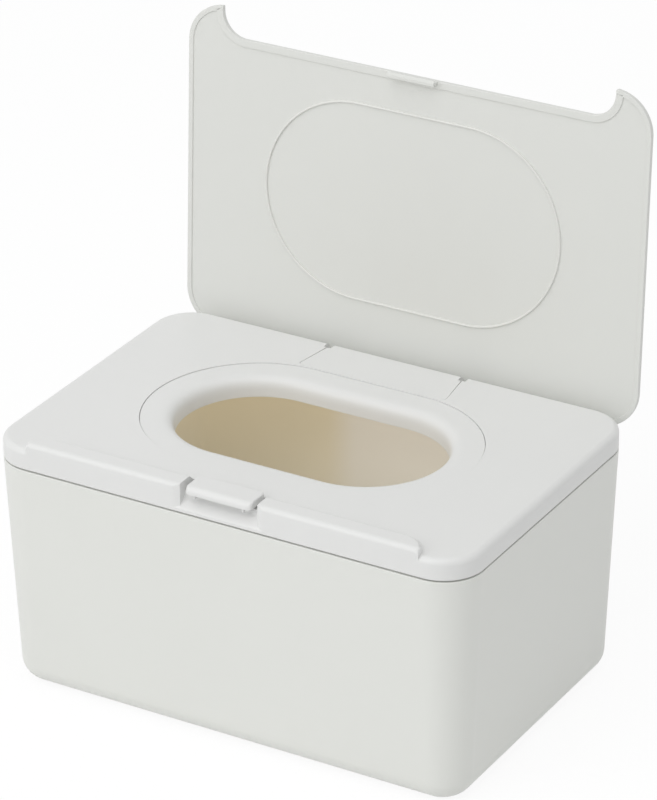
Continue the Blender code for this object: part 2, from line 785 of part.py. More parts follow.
def build_button(material, pivot):
    """The push button: a shallow cap with a leg, a hook nose, pivot pegs and two prongs."""
    top = DECK_TOP + BUTTON_RISE - BUTTON_AXIS.z
    low = top - BUTTON_HEIGHT
    front = FRONT - BUTTON_AXIS.y
    rear = NOTCH_EDGE - BUTTON_REAR_GAP - BUTTON_AXIS.y
    centre = (front + rear) / 2
    half_depth = (rear - front) / 2

    def ring(inset, z):
        outline = rounded_rectangle(BUTTON_HALF - inset, half_depth - inset, BUTTON_CORNER - inset)
        return at_height([(x, y + centre) for x, y in outline], z)

    rings = [ring(BUTTON_WALL, top - BUTTON_WALL), ring(BUTTON_WALL, low), ring(0, low)]
    for i in range(FILLET_STEPS):
        turn = pi / 2 * i / (FILLET_STEPS - 1)
        rings.append(ring(BUTTON_EDGE * (1 - cos(turn)), top - BUTTON_EDGE * (1 - sin(turn))))
    button = loft("latch_button", rings, PARTS)

    leg_back = rear - BUTTON_WALL + OVERLAP
    tongue_front = NOTCH_EDGE - BUTTON_AXIS.y
    leg_face = tongue_front - BARB_REACH - FIT
    leg = block(
        "button_leg",
        (-BUTTON_HALF + BUTTON_CORNER, leg_face - BUTTON_LEG, 0),
        (BUTTON_HALF - BUTTON_CORNER, leg_face, top - BUTTON_WALL / 2),
        CUTTERS,
    )
    barb_top = LID_FACE - CATCH_LENGTH + BARB_HEIGHT - BUTTON_AXIS.z
    nose_low = barb_top + FIT
    nose = block(
        "button_nose",
        (-NOSE_HALF, leg_face - OVERLAP, nose_low),
        (NOSE_HALF, tongue_front - FIT, nose_low + NOSE_HEIGHT),
        CUTTERS,
    )
    join(button, leg)
    join(button, nose)
    tools = [leg, nose]
    peg_root = BUTTON_HALF - BUTTON_CORNER - PEG_ROOT
    peg_end = BAY_HALF + PEG_REACH
    for low_x, high_x in ((-peg_end, -peg_root), (peg_root, peg_end)):
        peg = rod("button_peg", PEG_RADIUS, low_x, high_x, (0, 0, 0), CUTTERS)
        join(button, peg)
        tools.append(peg)
    prong_front = front + BUTTON_WALL - OVERLAP / 2
    for side in mirrored(PRONG_CENTRE):
        prong = block(
            "button_prong",
            (side - PRONG_WIDTH / 2, prong_front, low - PRONG_DROP),
            (side + PRONG_WIDTH / 2, prong_front + 2 * PRONG_WIDTH, top - BUTTON_WALL / 2),
            CUTTERS,
        )
        join(button, prong)
        tools.append(prong)
    for tool in tools:
        tool.parent = pivot
    button.parent = pivot
    colour(button, material)
    return button


def build_button_spring(material):
    """The return spring, from the bay's floor to the underside of the button."""
    floor = PARTING + BAY_FLOOR + FIT + BUTTON_SPRING_WIRE
    roof = DECK_TOP + BUTTON_RISE - BUTTON_WALL - FIT - BUTTON_SPRING_WIRE
    count = BUTTON_SPRING_TURNS * COIL_STEPS
    points = []
    for i in range(count + 1):
        turn = 2 * pi * i / COIL_STEPS
        x = BUTTON_SPRING_RADIUS * cos(turn)
        y = BUTTON_SPRING_RADIUS * sin(turn)
        points.append((x, y, floor + (roof - floor) * i / count))
    spring = coil("button_spring", points, BUTTON_SPRING_WIRE, PARTS)
    spring.location = (0, FRONT + BUTTON_SPRING_BACK, 0)
    colour(spring, material)
    return spring


def make_axis(name, place, turn=0.0):
    axis = bpy.data.objects.new(name, None)
    axis.empty_display_type = "ARROWS"
    axis.empty_display_size = DECK_RISE
    axis.location = place
    axis.rotation_euler = (turn, 0, 0)
    PARTS.objects.link(axis)
    return axis


def build():
    shell = make_material("white_plastic", WHITE, 0.42)
    seal = make_material("soft_seal", SOFT_WHITE, 0.6)
    steel = make_material("spring_steel", STEEL, 0.3, 1.0)
    hinge = make_axis("lid_hinge_axis", HINGE_AXIS, -LID_OPEN_ANGLE)
    pivot = make_axis("button_pivot_axis", BUTTON_AXIS)
    build_tub(shell)
    build_deck(shell)
    build_mouth_ring(shell)
    build_hinge_cover(shell)
    build_hinge_pin(steel)
    build_lid_spring(steel)
    build_lid(shell, hinge)
    build_lid_seal(seal, hinge)
    build_button(shell, pivot)
    build_button_spring(steel)


build()
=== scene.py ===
"""Looks of the wipes dispenser: finely rounded shells, moulded plastic, sprung wire and a plain studio.

Metres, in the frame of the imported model. Every piece stands for a node of the model and rides on
the node's body, so the lid, the deck and the button still move.
"""

import json
from math import atan2, cos, pi, radians, sin, sqrt, tan

import bmesh
import bpy
from bpy.props import FloatProperty, FloatVectorProperty, IntProperty, PointerProperty
from mathutils import Matrix, Vector

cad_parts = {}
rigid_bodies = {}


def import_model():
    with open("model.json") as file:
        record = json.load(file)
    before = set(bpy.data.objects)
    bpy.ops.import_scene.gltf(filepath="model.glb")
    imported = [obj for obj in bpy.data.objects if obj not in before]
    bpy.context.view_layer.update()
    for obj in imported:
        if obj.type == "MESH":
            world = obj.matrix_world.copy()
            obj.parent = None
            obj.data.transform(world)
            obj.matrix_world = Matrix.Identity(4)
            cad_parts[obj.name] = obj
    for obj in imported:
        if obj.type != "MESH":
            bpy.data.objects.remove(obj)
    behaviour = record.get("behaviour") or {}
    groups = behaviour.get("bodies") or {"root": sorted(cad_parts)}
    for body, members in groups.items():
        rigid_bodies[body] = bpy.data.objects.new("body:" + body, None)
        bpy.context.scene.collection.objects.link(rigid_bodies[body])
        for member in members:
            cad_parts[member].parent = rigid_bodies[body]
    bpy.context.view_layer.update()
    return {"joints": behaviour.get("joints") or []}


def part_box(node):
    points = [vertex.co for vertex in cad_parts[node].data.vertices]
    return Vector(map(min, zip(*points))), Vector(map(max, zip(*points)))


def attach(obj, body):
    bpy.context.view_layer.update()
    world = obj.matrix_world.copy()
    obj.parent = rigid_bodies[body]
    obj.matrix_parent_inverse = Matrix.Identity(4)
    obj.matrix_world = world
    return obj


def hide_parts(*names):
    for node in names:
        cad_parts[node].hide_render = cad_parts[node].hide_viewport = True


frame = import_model()

bl_info = {
    "name": "Wipes dispenser",
    "version": (1, 0, 0),
    "blender": (4, 5, 0),
    "location": "3D View > Sidebar > Dispenser",
    "description": "Builds the finished pieces of a wipes dispenser and its studio",
    "category": "Object",
}

JOINTS = {joint["name"]: joint for joint in frame["joints"]}
HINGE = Vector(JOINTS["lid_hinge"]["pos_m"])
LID_OPEN = radians(JOINTS["lid_hinge"]["range_deg"][1])
PIVOT = Vector(JOINTS["button_press"]["pos_m"])
BODY_LOW, BODY_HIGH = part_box("deck")
TUB_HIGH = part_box("tub")[1]

CORNER_STEPS = 22
FILLET_STEPS = 8
EDGE_STEPS = 6
RIM_STEPS = 4
SOFT_STEPS = 3
OVAL_STEPS = 52
ROUND_STEPS = 40
COIL_STEPS = 24
WIRE_STEPS = 10
BEVEL_SEGMENTS = 2
SHARP_TURN = radians(50)  # edges that turn by more are softened
SMOOTH_TURN = radians(32)  # edges that turn by less are shaded smooth
WELD = 1e-7
OVERRUN = 0.002
CROSS_HOLE_SHARE = 1.75  # hole through the pin, of the wire's radius

PLASTIC_IOR = 1.46
TONE_SPREAD = 0.03  # drift of a moulding's tone
GLOSS_DOWN, GLOSS_UP = 0.04, 0.05  # drift of its roughness
GRAIN_SCALE, GRAIN_DETAIL, GRAIN_ROUGHNESS = 2800.0, 2.0, 0.6
GRAIN_PER_HEIGHT = 14
DIMPLE_SOFTNESS, DIMPLE_SHARE = 0.6, 0.5
CLOUD_SCALE, CLOUD_DETAIL = 14.0, 3.0
BUMP_STRENGTH = 0.35
SEAL_ROUGHNESS = 0.6
# Painted shade and light: where along X the inner walls turn from painted shade to painted light.
PAINTED_SHADE_SHARE, PAINTED_LIGHT_SHARE = -0.32, -0.16  # of the half width, where the inner tone turns from warm to pale
STEEL_LINES, STEEL_SHADE = 4000.0, 0.85
STEEL_GLOSS = (0.22, 0.36)


def length(name, description, default):
    """A length property, in metres."""
    return FloatProperty(name=name, description=description, default=default, unit="LENGTH", precision=5)


def angle(name, description, degrees):
    """An angle property, given in degrees."""
    return FloatProperty(name=name, description=description, default=radians(degrees), subtype="ANGLE")


def share(name, description, default):
    """A share of one."""
    return FloatProperty(name=name, description=description, default=default, subtype="FACTOR", min=0, max=1)


def tint(name, description, default):
    """A colour."""
    return FloatVectorProperty(
        name=name, description=description, default=default, subtype="COLOR", size=3, min=0, max=1
    )


def amount(name, description, default):
    """A plain number."""
    return FloatProperty(name=name, description=description, default=default)


def spot(name, description, default):
    """A place in the studio, in metres."""
    return FloatVectorProperty(name=name, description=description, default=default, unit="LENGTH")


class BodySizes(bpy.types.PropertyGroup):
    """The outline that the tub and the deck share, and the tub's walls."""

    width: length("Width", "Body, side to side", BODY_HIGH.x - BODY_LOW.x)
    depth: length("Depth", "Body, front to rear", BODY_HIGH.y - BODY_LOW.y)
    corner: length("Corner", "Radius of the upright corners", 0.0160)
    parting: length("Parting", "Height of the parting line", TUB_HIGH.z + 0.00015)
    draft: length("Draft", "How far each side leans in by the underside", 0.0040)
    bottom: length("Bottom", "Radius of the rolled lower edge", 0.0093)
    wall: length("Wall", "Thickness of the tub's sides", 0.0024)
    floor: length("Floor", "Thickness of the tub's floor", 0.0026)
    rim: length("Rim", "Softened edges along the parting line", 0.00035)
    line: length("Line", "Width of the open parting line", 0.0007)
    gap: length("Gap", "Clearance between seated pieces", 0.0003)


class DeckSizes(bpy.types.PropertyGroup):
    """The deck, its front strip and the bay for the button."""

    rise: length("Rise", "Parting line to deck top", 0.0086)
    edge: length("Edge", "Radius of the deck's outer edge", 0.0025)
    plate: length("Plate", "Thickness of the deck's top", 0.0022)
    skirt: length("Skirt", "Depth of the locating skirt", 0.0060)
    skirt_wall: length("Skirt wall", "Thickness of the locating skirt", 0.0014)
    lip: length("Lip", "Softening of the cut edges", 0.00028)
    strip_half: length("Strip half", "Half the length of the raised strip", 0.0825)
    strip_rise: length("Strip rise", "Height of the strip over the deck", 0.0029)
    strip_crest: length("Strip crest", "Depth of the strip's flat top", 0.0070)
    strip_foot: length("Strip foot", "Depth at which the strip's slope ends", 0.0115)
    strip_front: length("Strip front", "Radius of the strip's front edge", 0.0020)
    strip_end: length("Strip end", "Radius over the strip's ends", 0.0012)
    strip_corner: length("Strip corner", "Radius of its rear corners in plan", 0.0095)
    strip_slope: length("Strip slope", "Least depth of the slope at the strip's ends", 0.0008)
    bay_half: length("Bay half", "Half the width of the button's bay", 0.0163)
    bay_flare: length("Bay flare", "Widening of the bay at the front face", 0.0027)
    bay_flare_depth: length("Bay flare depth", "Depth of that widening", 0.0009)
    bay_depth: length("Bay depth", "Front face to behind the button", 0.0115)
    bay_floor: length("Bay floor", "Bay floor over the parting line", 0.0007)
    bay_wall: length("Bay wall", "Walls under the bay", 0.0013)
    slot_half: length("Slot half", "Half the width of the tongue's slot", 0.0108)
    slot_depth: length("Slot depth", "Depth of the tongue's slot", 0.0018)
    thumb_depth: length("Thumb depth", "Depth of the thumb recess", 0.0045)
    thumb_floor: length("Thumb floor", "Lower end of the recess over the parting line", 0.0010)
    thumb_lean: angle("Thumb lean", "How far its slope leans in from upright", 50)
    thumb_lip: length("Thumb lip", "Round from the front face into the slope", 0.0016)
    thumb_sweep: length("Thumb sweep", "Hollow round from the slope into the upright wall", 0.0030)
    thumb_wall: length("Thumb wall", "Thickness of the wall behind it", 0.0012)
    thumb_top: length("Thumb top", "Top of that wall over the parting line", 0.0071)


class MouthSizes(bpy.types.PropertyGroup):
    """The oval funnel."""

    straight: length("Straight", "Half the straight run of the oval", 0.02365)
    radius: length("Radius", "Outer radius of the band", 0.04355)
    band: length("Band", "Width of the flat band", 0.0060)
    roll: length("Roll", "Radius of the roll into the mouth", 0.0069)
    squareness: amount("Squareness", "Power of the roll's curve", 3.4)
    sink: length("Sink", "How far the band lies under the deck", 0.0003)
    wall: length("Wall", "Thickness of the funnel", 0.0016)
    lip: length("Lip", "Straight lip under the roll", 0.0010)
    ledge: length("Ledge", "Width of the ledge that carries it", 0.0025)
    ledge_wall: length("Ledge wall", "Thickness of that ledge", 0.0014)
    edge: length("Edge", "Softening of the band's outer edge", 0.00025)


class LidSizes(bpy.types.PropertyGroup):
    """The lid, its notch, its catch and its seal."""

    side_inset: length("Side inset", "Each side, inside the body", 0.00135)
    overhang: length("Overhang", "Front and rear, past the body", 0.0003)
    corner: length("Corner", "Radius of the outer corners", 0.0160)
    thickness: length("Thickness", "Rim face to outer face", 0.0023)
    outer_edge: length("Outer edge", "Radius of the outer edge", 0.0008)
    inner_edge: length("Inner edge", "Radius of the rim's edges", 0.0003)
    rim: length("Rim", "Width of the raised rim", 0.0020)
    notch_rim: length("Notch rim", "Width of the rim along the notch", 0.0030)
    sink: length("Sink", "How far the panel lies behind the rim", 0.0005)
    notch_half: length("Notch half", "Half the width of the notch", 0.0835)
    notch_depth: length("Notch depth", "Front edge to the notch's edge", 0.0117)
    notch_corner: length("Notch corner", "Radius inside the notch", 0.0100)
    tip: length("Tip", "Radius at the horns' inner tips", 0.0005)
    catch_half: length("Catch half", "Half the width of the tongue", 0.0100)
    catch_wall: length("Catch wall", "Thickness of the tongue", 0.0012)
    catch_length: length("Catch length", "How far the tongue stands off the rim", 0.0034)
    barb: length("Barb", "Reach of the barb", 0.0009)
    barb_height: length("Barb height", "Height of the barb", 0.0010)
    seal_inset: length("Seal inset", "Seal inside the mouth band's edge", 0.00385)
    seal_width: length("Seal width", "Width of the bead", 0.0009)
    seal_stand: length("Seal stand", "How far the bead passes the rim", 0.0003)


class HingeSizes(bpy.types.PropertyGroup):
    """The cover, the pin, the lugs and the spring."""

    space: length("Space", "Deck left between the mouth and the cover", 0.00085)
    front_half: length("Front half", "Half the cover's front edge", 0.0322)
    rear_half: length("Rear half", "Half the cover's width at the slot", 0.0295)
    corner: length("Corner", "Radius of the cover's front corners", 0.0012)
    thickness: length("Thickness", "Thickness of the cover", 0.0022)
    ledge: length("Ledge", "Thickness of the plate under it", 0.0016)
    skin: length("Skin", "Rear wall behind the pin", 0.0005)
    slot: length("Slot", "Slot for a lug, in from the rear face", 0.0046)
    lug_centre: length("Lug centre", "Lug, from the middle", 0.0295)
    lug_width: length("Lug width", "Width of a lug", 0.0022)
    lug_radius: length("Lug radius", "Radius of a lug's eye", 0.0017)
    pin: length("Pin", "Radius of the pin", 0.0009)
    pin_fit: length("Pin fit", "Running clearance round the pin", 0.00008)
    bay_half: length("Bay half", "Half the room for the spring", 0.0070)
    wire: length("Wire", "Radius of the springs' wire", 0.0002)
    turns: IntProperty(name="Turns", description="Turns of the lid spring", default=12)
    pitch: length("Pitch", "Turn to turn", 0.00085)
    leg: length("Leg", "Length of the spring's outer leg", 0.0021)


class ButtonSizes(bpy.types.PropertyGroup):
    """The push button and its spring."""

    half: length("Half", "Half the button's width", 0.0138)
    rise: length("Rise", "Top of the button over the deck", 0.0028)
    rear_gap: length("Rear gap", "Button to the lid's edge", 0.0005)
    height: length("Height", "Height of the front lip", 0.0030)
    wall: length("Wall", "Thickness of the cap", 0.0011)
    corner: length("Corner", "Radius of its corners in plan", 0.0016)
    edge: length("Edge", "Radius over its top edge, rear and ends", 0.0006)
    front_edge: length("Front edge", "Wider radius over its front edge", 0.0022)
    lip: length("Lip", "Softening of the lower edge", 0.00015)
    leg: length("Leg", "Thickness of the leg", 0.0013)
    nose_half: length("Nose half", "Half the width of the hook", 0.0095)
    nose: length("Nose", "Height of the hook", 0.0012)
    peg: length("Peg", "Radius of a pivot peg", 0.0010)
    peg_reach: length("Peg reach", "How far a peg enters the wall", 0.0008)
    peg_root: length("Peg root", "Length of a peg along the leg", 0.0020)
    prong: length("Prong", "Prong, from the middle", 0.0102)
    prong_width: length("Prong width", "Width of a prong", 0.0008)
    prong_drop: length("Prong drop", "How far a prong hangs under the lip", 0.0017)
    coil: length("Coil", "Radius of the return spring", 0.0010)
    coil_back: length("Coil back", "Return spring, from the front face", 0.0074)
    turns: IntProperty(name="Turns", description="Turns of the return spring", default=7)


class Finish(bpy.types.PropertyGroup):
    """Colours of the pieces, with the painted shade, light and glow of the tub's inside and the lid's painted
    shade.
    """

    shell: tint("Shell", "Warm white of the mouldings", (0.80, 0.805, 0.77))
    # Painted shade: the lid's white is set a little darker than the shell's, for the shade on the open lid.
    lid: tint("Lid", "The same white, a little deeper in the thin lid", (0.755, 0.76, 0.73))
    deck: tint("Deck", "White of the deck, ring and button", (0.80, 0.80, 0.79))
    # Painted shade: the tub's inner walls are set warm and darker than the same white plastic outside.
    inside: tint("Inside", "Warm tone of the tub's inner walls", (0.75, 0.66, 0.48))
    # Painted light: the inner walls turn paler at their lit end, towards +X.
    inside_painted_light: tint("Inside end", "Paler tone of the lit end of the inner walls", (0.79, 0.74, 0.66))
    # Painted glow: the inner walls shine, standing in for daylight through the thin walls.
    through: share("Through", "Daylight that comes through the thin walls", 0.29)
    seal: tint("Seal", "Soft bead in the lid", (0.78, 0.78, 0.75))
    steel: tint("Steel", "Pin and springs", (0.55, 0.55, 0.56))
    roughness: share("Roughness", "Roughness of the mouldings", 0.42)
    grain: length("Grain", "Size of the mould's fine texture", 0.00035)


class Studio(bpy.types.PropertyGroup):
    """Camera, floor and light."""

    azimuth: angle("Azimuth", "Camera, round from the front", 30.496)
    elevation: angle("Elevation", "Camera, above the horizon", 26.757)
    roll: angle("Roll", "Camera, about its own axis", -0.489)
    distance: length("Distance", "Camera to its target", 1.61954)
    target: spot("Target", "What the camera looks at", (0.01425, -0.01141, 0.12357))
    lens: amount("Lens", "Focal length in millimetres", 200.0)
    sight: length("Sight", "How far the camera sees", 20.0)
    sky: share("Sky", "Brightness of the even light", 0.62)
    sky_tint: tint("Sky tint", "Colour of the even light", (0.99, 1.0, 1.0))
    floor_size: length("Floor size", "Side of the floor", 6.0)
    floor_tint: tint("Floor tint", "Tone of the floor", (0.82, 0.82, 0.82))
    floor_roughness: share("Floor roughness", "Roughness of the floor", 0.9)
    floor_glow: amount("Floor glow", "Brightness of the floor where it is seen", 1.04)
    floor_blend: share("Floor blend", "Share of that brightness in what is seen", 0.86)
    aim: spot("Aim", "What the lamps look at", (0, 0, 0.1))
    key_place: spot("Key place", "Lamp before the front, to its left", (-0.9, -1.7, 1.2))
    key_size: length("Key size", "Side of that lamp", 1.4)
    key_power: amount("Key power", "Power of that lamp, in watts", 10.0)
    top_place: spot("Top place", "Lamp over the front", (0.1, -0.9, 1.9))
    top_size: length("Top size", "Side of that lamp", 1.6)
    top_power: amount("Top power", "Power of that lamp, in watts", 10.0)


class Dispenser(bpy.types.PropertyGroup):
    """Everything that a user of the panel can change."""

    body: PointerProperty(type=BodySizes)
    deck: PointerProperty(type=DeckSizes)
    mouth: PointerProperty(type=MouthSizes)
    lid: PointerProperty(type=LidSizes)
    hinge: PointerProperty(type=HingeSizes)
    button: PointerProperty(type=ButtonSizes)
    finish: PointerProperty(type=Finish)
    studio: PointerProperty(type=Studio)


def arc(centre_a, centre_b, radius, start, end, steps):
    """Points on an arc, both ends included."""
    angles = [start + (end - start) * i / steps for i in range(steps + 1)]
    return [(centre_a + radius * cos(a), centre_b + radius * sin(a)) for a in angles]


def quarter(steps):
    """Angles of a quarter turn."""
    return [pi / 2 * i / steps for i in range(steps + 1)]


def rounded_rectangle(half_x, half_y, radius):
    """A rectangle with round corners, counter-clockwise."""
    points = []
    corners = ((1, -1, -pi / 2), (1, 1, 0), (-1, 1, pi / 2), (-1, -1, pi))
    for side_x, side_y, start in corners:
        centre_x = side_x * (half_x - radius)
        centre_y = side_y * (half_y - radius)
        points += arc(centre_x, centre_y, radius, start, start + pi / 2, CORNER_STEPS)
    return points


def oval(straight, radius):
    """Two half circles joined by straight runs."""
    right = arc(straight, 0, radius, -pi / 2, pi / 2, OVAL_STEPS)
    left = arc(-straight, 0, radius, pi / 2, 3 * pi / 2, OVAL_STEPS)
    return right + left


def at_height(outline, z):
    """A plan's points, lifted to a height."""
    return [Vector((x, y, z)) for x, y in outline]


def mirror(points):
    """Points of a right half, followed by their mirror images in reverse order."""
    return points + [(-x, y) for x, y in points[::-1]]


def new_piece(mesh_bmesh, name):
    """A bmesh made an object, welded and facing out."""
    bmesh.ops.remove_doubles(mesh_bmesh, verts=mesh_bmesh.verts, dist=WELD)
    bmesh.ops.dissolve_degenerate(mesh_bmesh, edges=mesh_bmesh.edges, dist=WELD)
    bmesh.ops.recalc_face_normals(mesh_bmesh, faces=mesh_bmesh.faces)
    mesh = bpy.data.meshes.new(name)
    mesh_bmesh.to_mesh(mesh)
    mesh_bmesh.free()
    piece = bpy.data.objects.new(name, mesh)
    bpy.context.scene.collection.objects.link(piece)
    return piece


def loft(name, rings):
    """A skin through rings of equal point counts, capped at both ends."""
    mesh = bmesh.new()
    loops = [[mesh.verts.new(point) for point in ring] for ring in rings]
    for lower, upper in zip(loops, loops[1:]):
        for i in range(len(lower)):
            j = (i + 1) % len(lower)
            mesh.faces.new((lower[i], lower[j], upper[j], upper[i]))
    mesh.faces.new(loops[0][::-1])
    mesh.faces.new(loops[-1])
    return new_piece(mesh, name)


def prism(name, outline, low, high, along="Z"):
    """A flat outline pushed along Z, or along X for a (y, z) outline."""
    if along == "Z":
        rings = [at_height(outline, low), at_height(outline, high)]
    else:
        rings = [[Vector((x, a, b)) for a, b in outline] for x in (low, high)]
    return loft(name, rings)


def block(name, low, high):
    """A box between two corners."""
    mesh = bmesh.new()
    bmesh.ops.create_cube(mesh, size=1)
    low, high = Vector(low), Vector(high)
    bmesh.ops.scale(mesh, vec=high - low, verts=mesh.verts)
    bmesh.ops.translate(mesh, vec=(low + high) / 2, verts=mesh.verts)
    return new_piece(mesh, name)


def rod(name, radius, low, high, place, along="X", chamfer=0.0):
    """A round bar through a place, with softened ends."""
    stations = [(low, radius), (high, radius)]
    if chamfer:
        ends = [(low, radius - chamfer), (high, radius - chamfer)]
        stations = [ends[0], (low + chamfer, radius), (high - chamfer, radius), ends[1]]
    turns = [2 * pi * i / ROUND_STEPS for i in range(ROUND_STEPS)]
    rings = []
    for reach, wide in stations:
        round_points = [(wide * cos(turn), wide * sin(turn)) for turn in turns]
        if along == "X":
            rings.append([Vector(place) + Vector((reach, a, b)) for a, b in round_points])
        else:
            rings.append([Vector(place) + Vector((a, b, reach)) for a, b in round_points])
    return loft(name, rings)


def settle(piece):
    """Makes the result of a piece's modifiers its plain mesh."""
    graph = bpy.context.evaluated_depsgraph_get()
    settled = bpy.data.meshes.new_from_object(piece.evaluated_get(graph))
    piece.modifiers.clear()
    old = piece.data
    piece.data = settled
    settled.name = piece.name
    bpy.data.meshes.remove(old)
    return piece


def carve(piece, steps):
    """Joins or cuts helpers in order, then removes them. A step is a helper and JOIN or CUT."""
    for helper, operation in steps:
        modifier = piece.modifiers.new(helper.name, "BOOLEAN")
        modifier.solver = "EXACT"
        modifier.operation = operation
        modifier.object = helper
    settle(piece)
    for helper, _ in steps:
        bpy.data.objects.remove(helper, do_unlink=True)
    return piece


JOIN, CUT = "UNION", "DIFFERENCE"


def soften(piece, width):
    """Rounds the edges that turn sharply."""
    mesh = bmesh.new()
    mesh.from_mesh(piece.data)
    bmesh.ops.remove_doubles(mesh, verts=mesh.verts, dist=WELD)
    bmesh.ops.dissolve_degenerate(mesh, edges=mesh.edges, dist=WELD)
    sharp = [e for e in mesh.edges if len(e.link_faces) == 2 and e.calc_face_angle() > SHARP_TURN]
    bmesh.ops.bevel(
        mesh,
        geom=sharp,
        offset=width,
        offset_type="OFFSET",
        segments=BEVEL_SEGMENTS,
        profile=0.5,
        affect="EDGES",
        clamp_overlap=True,
    )
    mesh.to_mesh(piece.data)
    mesh.free()
    return piece


def present(piece, body, node, material):
    """Shades a piece, gives it its finish and hands it to its body in place of its node."""
    piece.data.materials.clear()
    piece.data.materials.append(material)
    piece.data.shade_smooth()
    piece.data.set_sharp_from_angle(angle=SMOOTH_TURN)
    weighted = piece.modifiers.new("weighted_normals", "WEIGHTED_NORMAL")
    weighted.keep_sharp = True
    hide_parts(node)
    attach(piece, body)
    return piece


def add_node(tree, kind, place=(0, 0), **values):
    """A node at its place in a tree, with its settings."""
    node = tree.nodes.new(kind)
    node.location = place
    for name, value in values.items():
        setattr(node, name, value)
    return node


def new_tree(name, kind, inputs, outputs):
    """A node tree and its two end nodes. A socket is given as its name, its kind and any default."""
    tree = bpy.data.node_groups.new(name, kind)
    for in_out, sockets in (("INPUT", inputs), ("OUTPUT", outputs)):
        for socket, socket_kind, *default in sockets:
            socket_type = "NodeSocket" + socket_kind
            made = tree.interface.new_socket(name=socket, in_out=in_out, socket_type=socket_type)
            if default:
                made.default_value = default[0]
    entry = add_node(tree, "NodeGroupInput", (-900, 0))
    return tree, entry, add_node(tree, "NodeGroupOutput", (1000, 0))


def moulded_skin_group():
    """Fine mould texture: a height for the bump, and a slow cloud for tone and gloss."""
    name = "moulded_skin"
    if name in bpy.data.node_groups:
        return bpy.data.node_groups[name]
    inputs = (
        ("Vector", "Vector"),
        ("Grain Scale", "Float", GRAIN_SCALE),
        ("Cloud Scale", "Float", CLOUD_SCALE),
    )
    outputs = (("Height", "Float"), ("Cloud", "Float"))
    group, entry, leave = new_tree(name, "ShaderNodeTree", inputs, outputs)
    grain = add_node(group, "ShaderNodeTexNoise", (-300, 150), noise_dimensions="3D")
    grain.inputs["Detail"].default_value = GRAIN_DETAIL
    grain.inputs["Roughness"].default_value = GRAIN_ROUGHNESS
    dimple = add_node(group, "ShaderNodeTexVoronoi", (-300, -100), feature="SMOOTH_F1")
    dimple.inputs["Smoothness"].default_value = DIMPLE_SOFTNESS
    blend = add_node(group, "ShaderNodeMath", (0, 80), operation="MULTIPLY_ADD")
    blend.inputs[1].default_value = DIMPLE_SHARE
    cloud = add_node(group, "ShaderNodeTexNoise", (-300, -350), noise_dimensions="3D")
    cloud.inputs["Detail"].default_value = CLOUD_DETAIL
    link = group.links.new
    link(entry.outputs["Vector"], grain.inputs["Vector"])
    link(entry.outputs["Grain Scale"], grain.inputs["Scale"])
    link(entry.outputs["Vector"], dimple.inputs["Vector"])
    link(entry.outputs["Grain Scale"], dimple.inputs["Scale"])
    link(entry.outputs["Vector"], cloud.inputs["Vector"])
    link(entry.outputs["Cloud Scale"], cloud.inputs["Scale"])
    link(dimple.outputs["Distance"], blend.inputs[0])
    link(grain.outputs["Fac"], blend.inputs[2])
    link(blend.outputs[0], leave.inputs["Height"])
    link(cloud.outputs["Fac"], leave.inputs["Cloud"])
    return group


def plastic(name, colour, roughness, grain, attribute=None, inner=None, inner_painted_light=None, through=0.0):
    """Moulded plastic: fine grain, slow changes of tone and gloss, and painted shade, light and glow on an
    inside if it has one.
    """
    material = bpy.data.materials.new(name)
    material.use_nodes = True
    tree = material.node_tree
    link = tree.links.new
    shader = tree.nodes["Principled BSDF"]
    shader.inputs["IOR"].default_value = PLASTIC_IOR
    place = add_node(tree, "ShaderNodeTexCoord", (-1300, 0))
    skin = add_node(tree, "ShaderNodeGroup", (-1050, 0), node_tree=moulded_skin_group())
    skin.inputs["Grain Scale"].default_value = 1 / grain
    link(place.outputs["Object"], skin.inputs["Vector"])

    base = add_node(tree, "ShaderNodeMix", (-500, 250), data_type="RGBA")
    base.inputs["A"].default_value = (*[c * (1 - TONE_SPREAD / 2) for c in colour], 1)
    base.inputs["B"].default_value = (*[min(1, c * (1 + TONE_SPREAD / 2)) for c in colour], 1)
    link(skin.outputs["Cloud"], base.inputs["Factor"])
    shade = base.outputs["Result"]
    if attribute:
        shade = paint_inside_shade_and_light(tree, shade, attribute, inner, inner_painted_light, place, through)
    link(shade, shader.inputs["Base Color"])

    gloss = add_node(tree, "ShaderNodeMapRange", (-500, -50))
    gloss.inputs["To Min"].default_value = roughness - GLOSS_DOWN
    gloss.inputs["To Max"].default_value = roughness + GLOSS_UP
    link(skin.outputs["Cloud"], gloss.inputs["Value"])
    link(gloss.outputs["Result"], shader.inputs["Roughness"])

    bump = add_node(tree, "ShaderNodeBump", (-300, -300))
    bump.inputs["Strength"].default_value = BUMP_STRENGTH
    bump.inputs["Distance"].default_value = grain / GRAIN_PER_HEIGHT
    link(skin.outputs["Height"], bump.inputs["Height"])
    link(bump.outputs["Normal"], shader.inputs["Normal"])
    return material


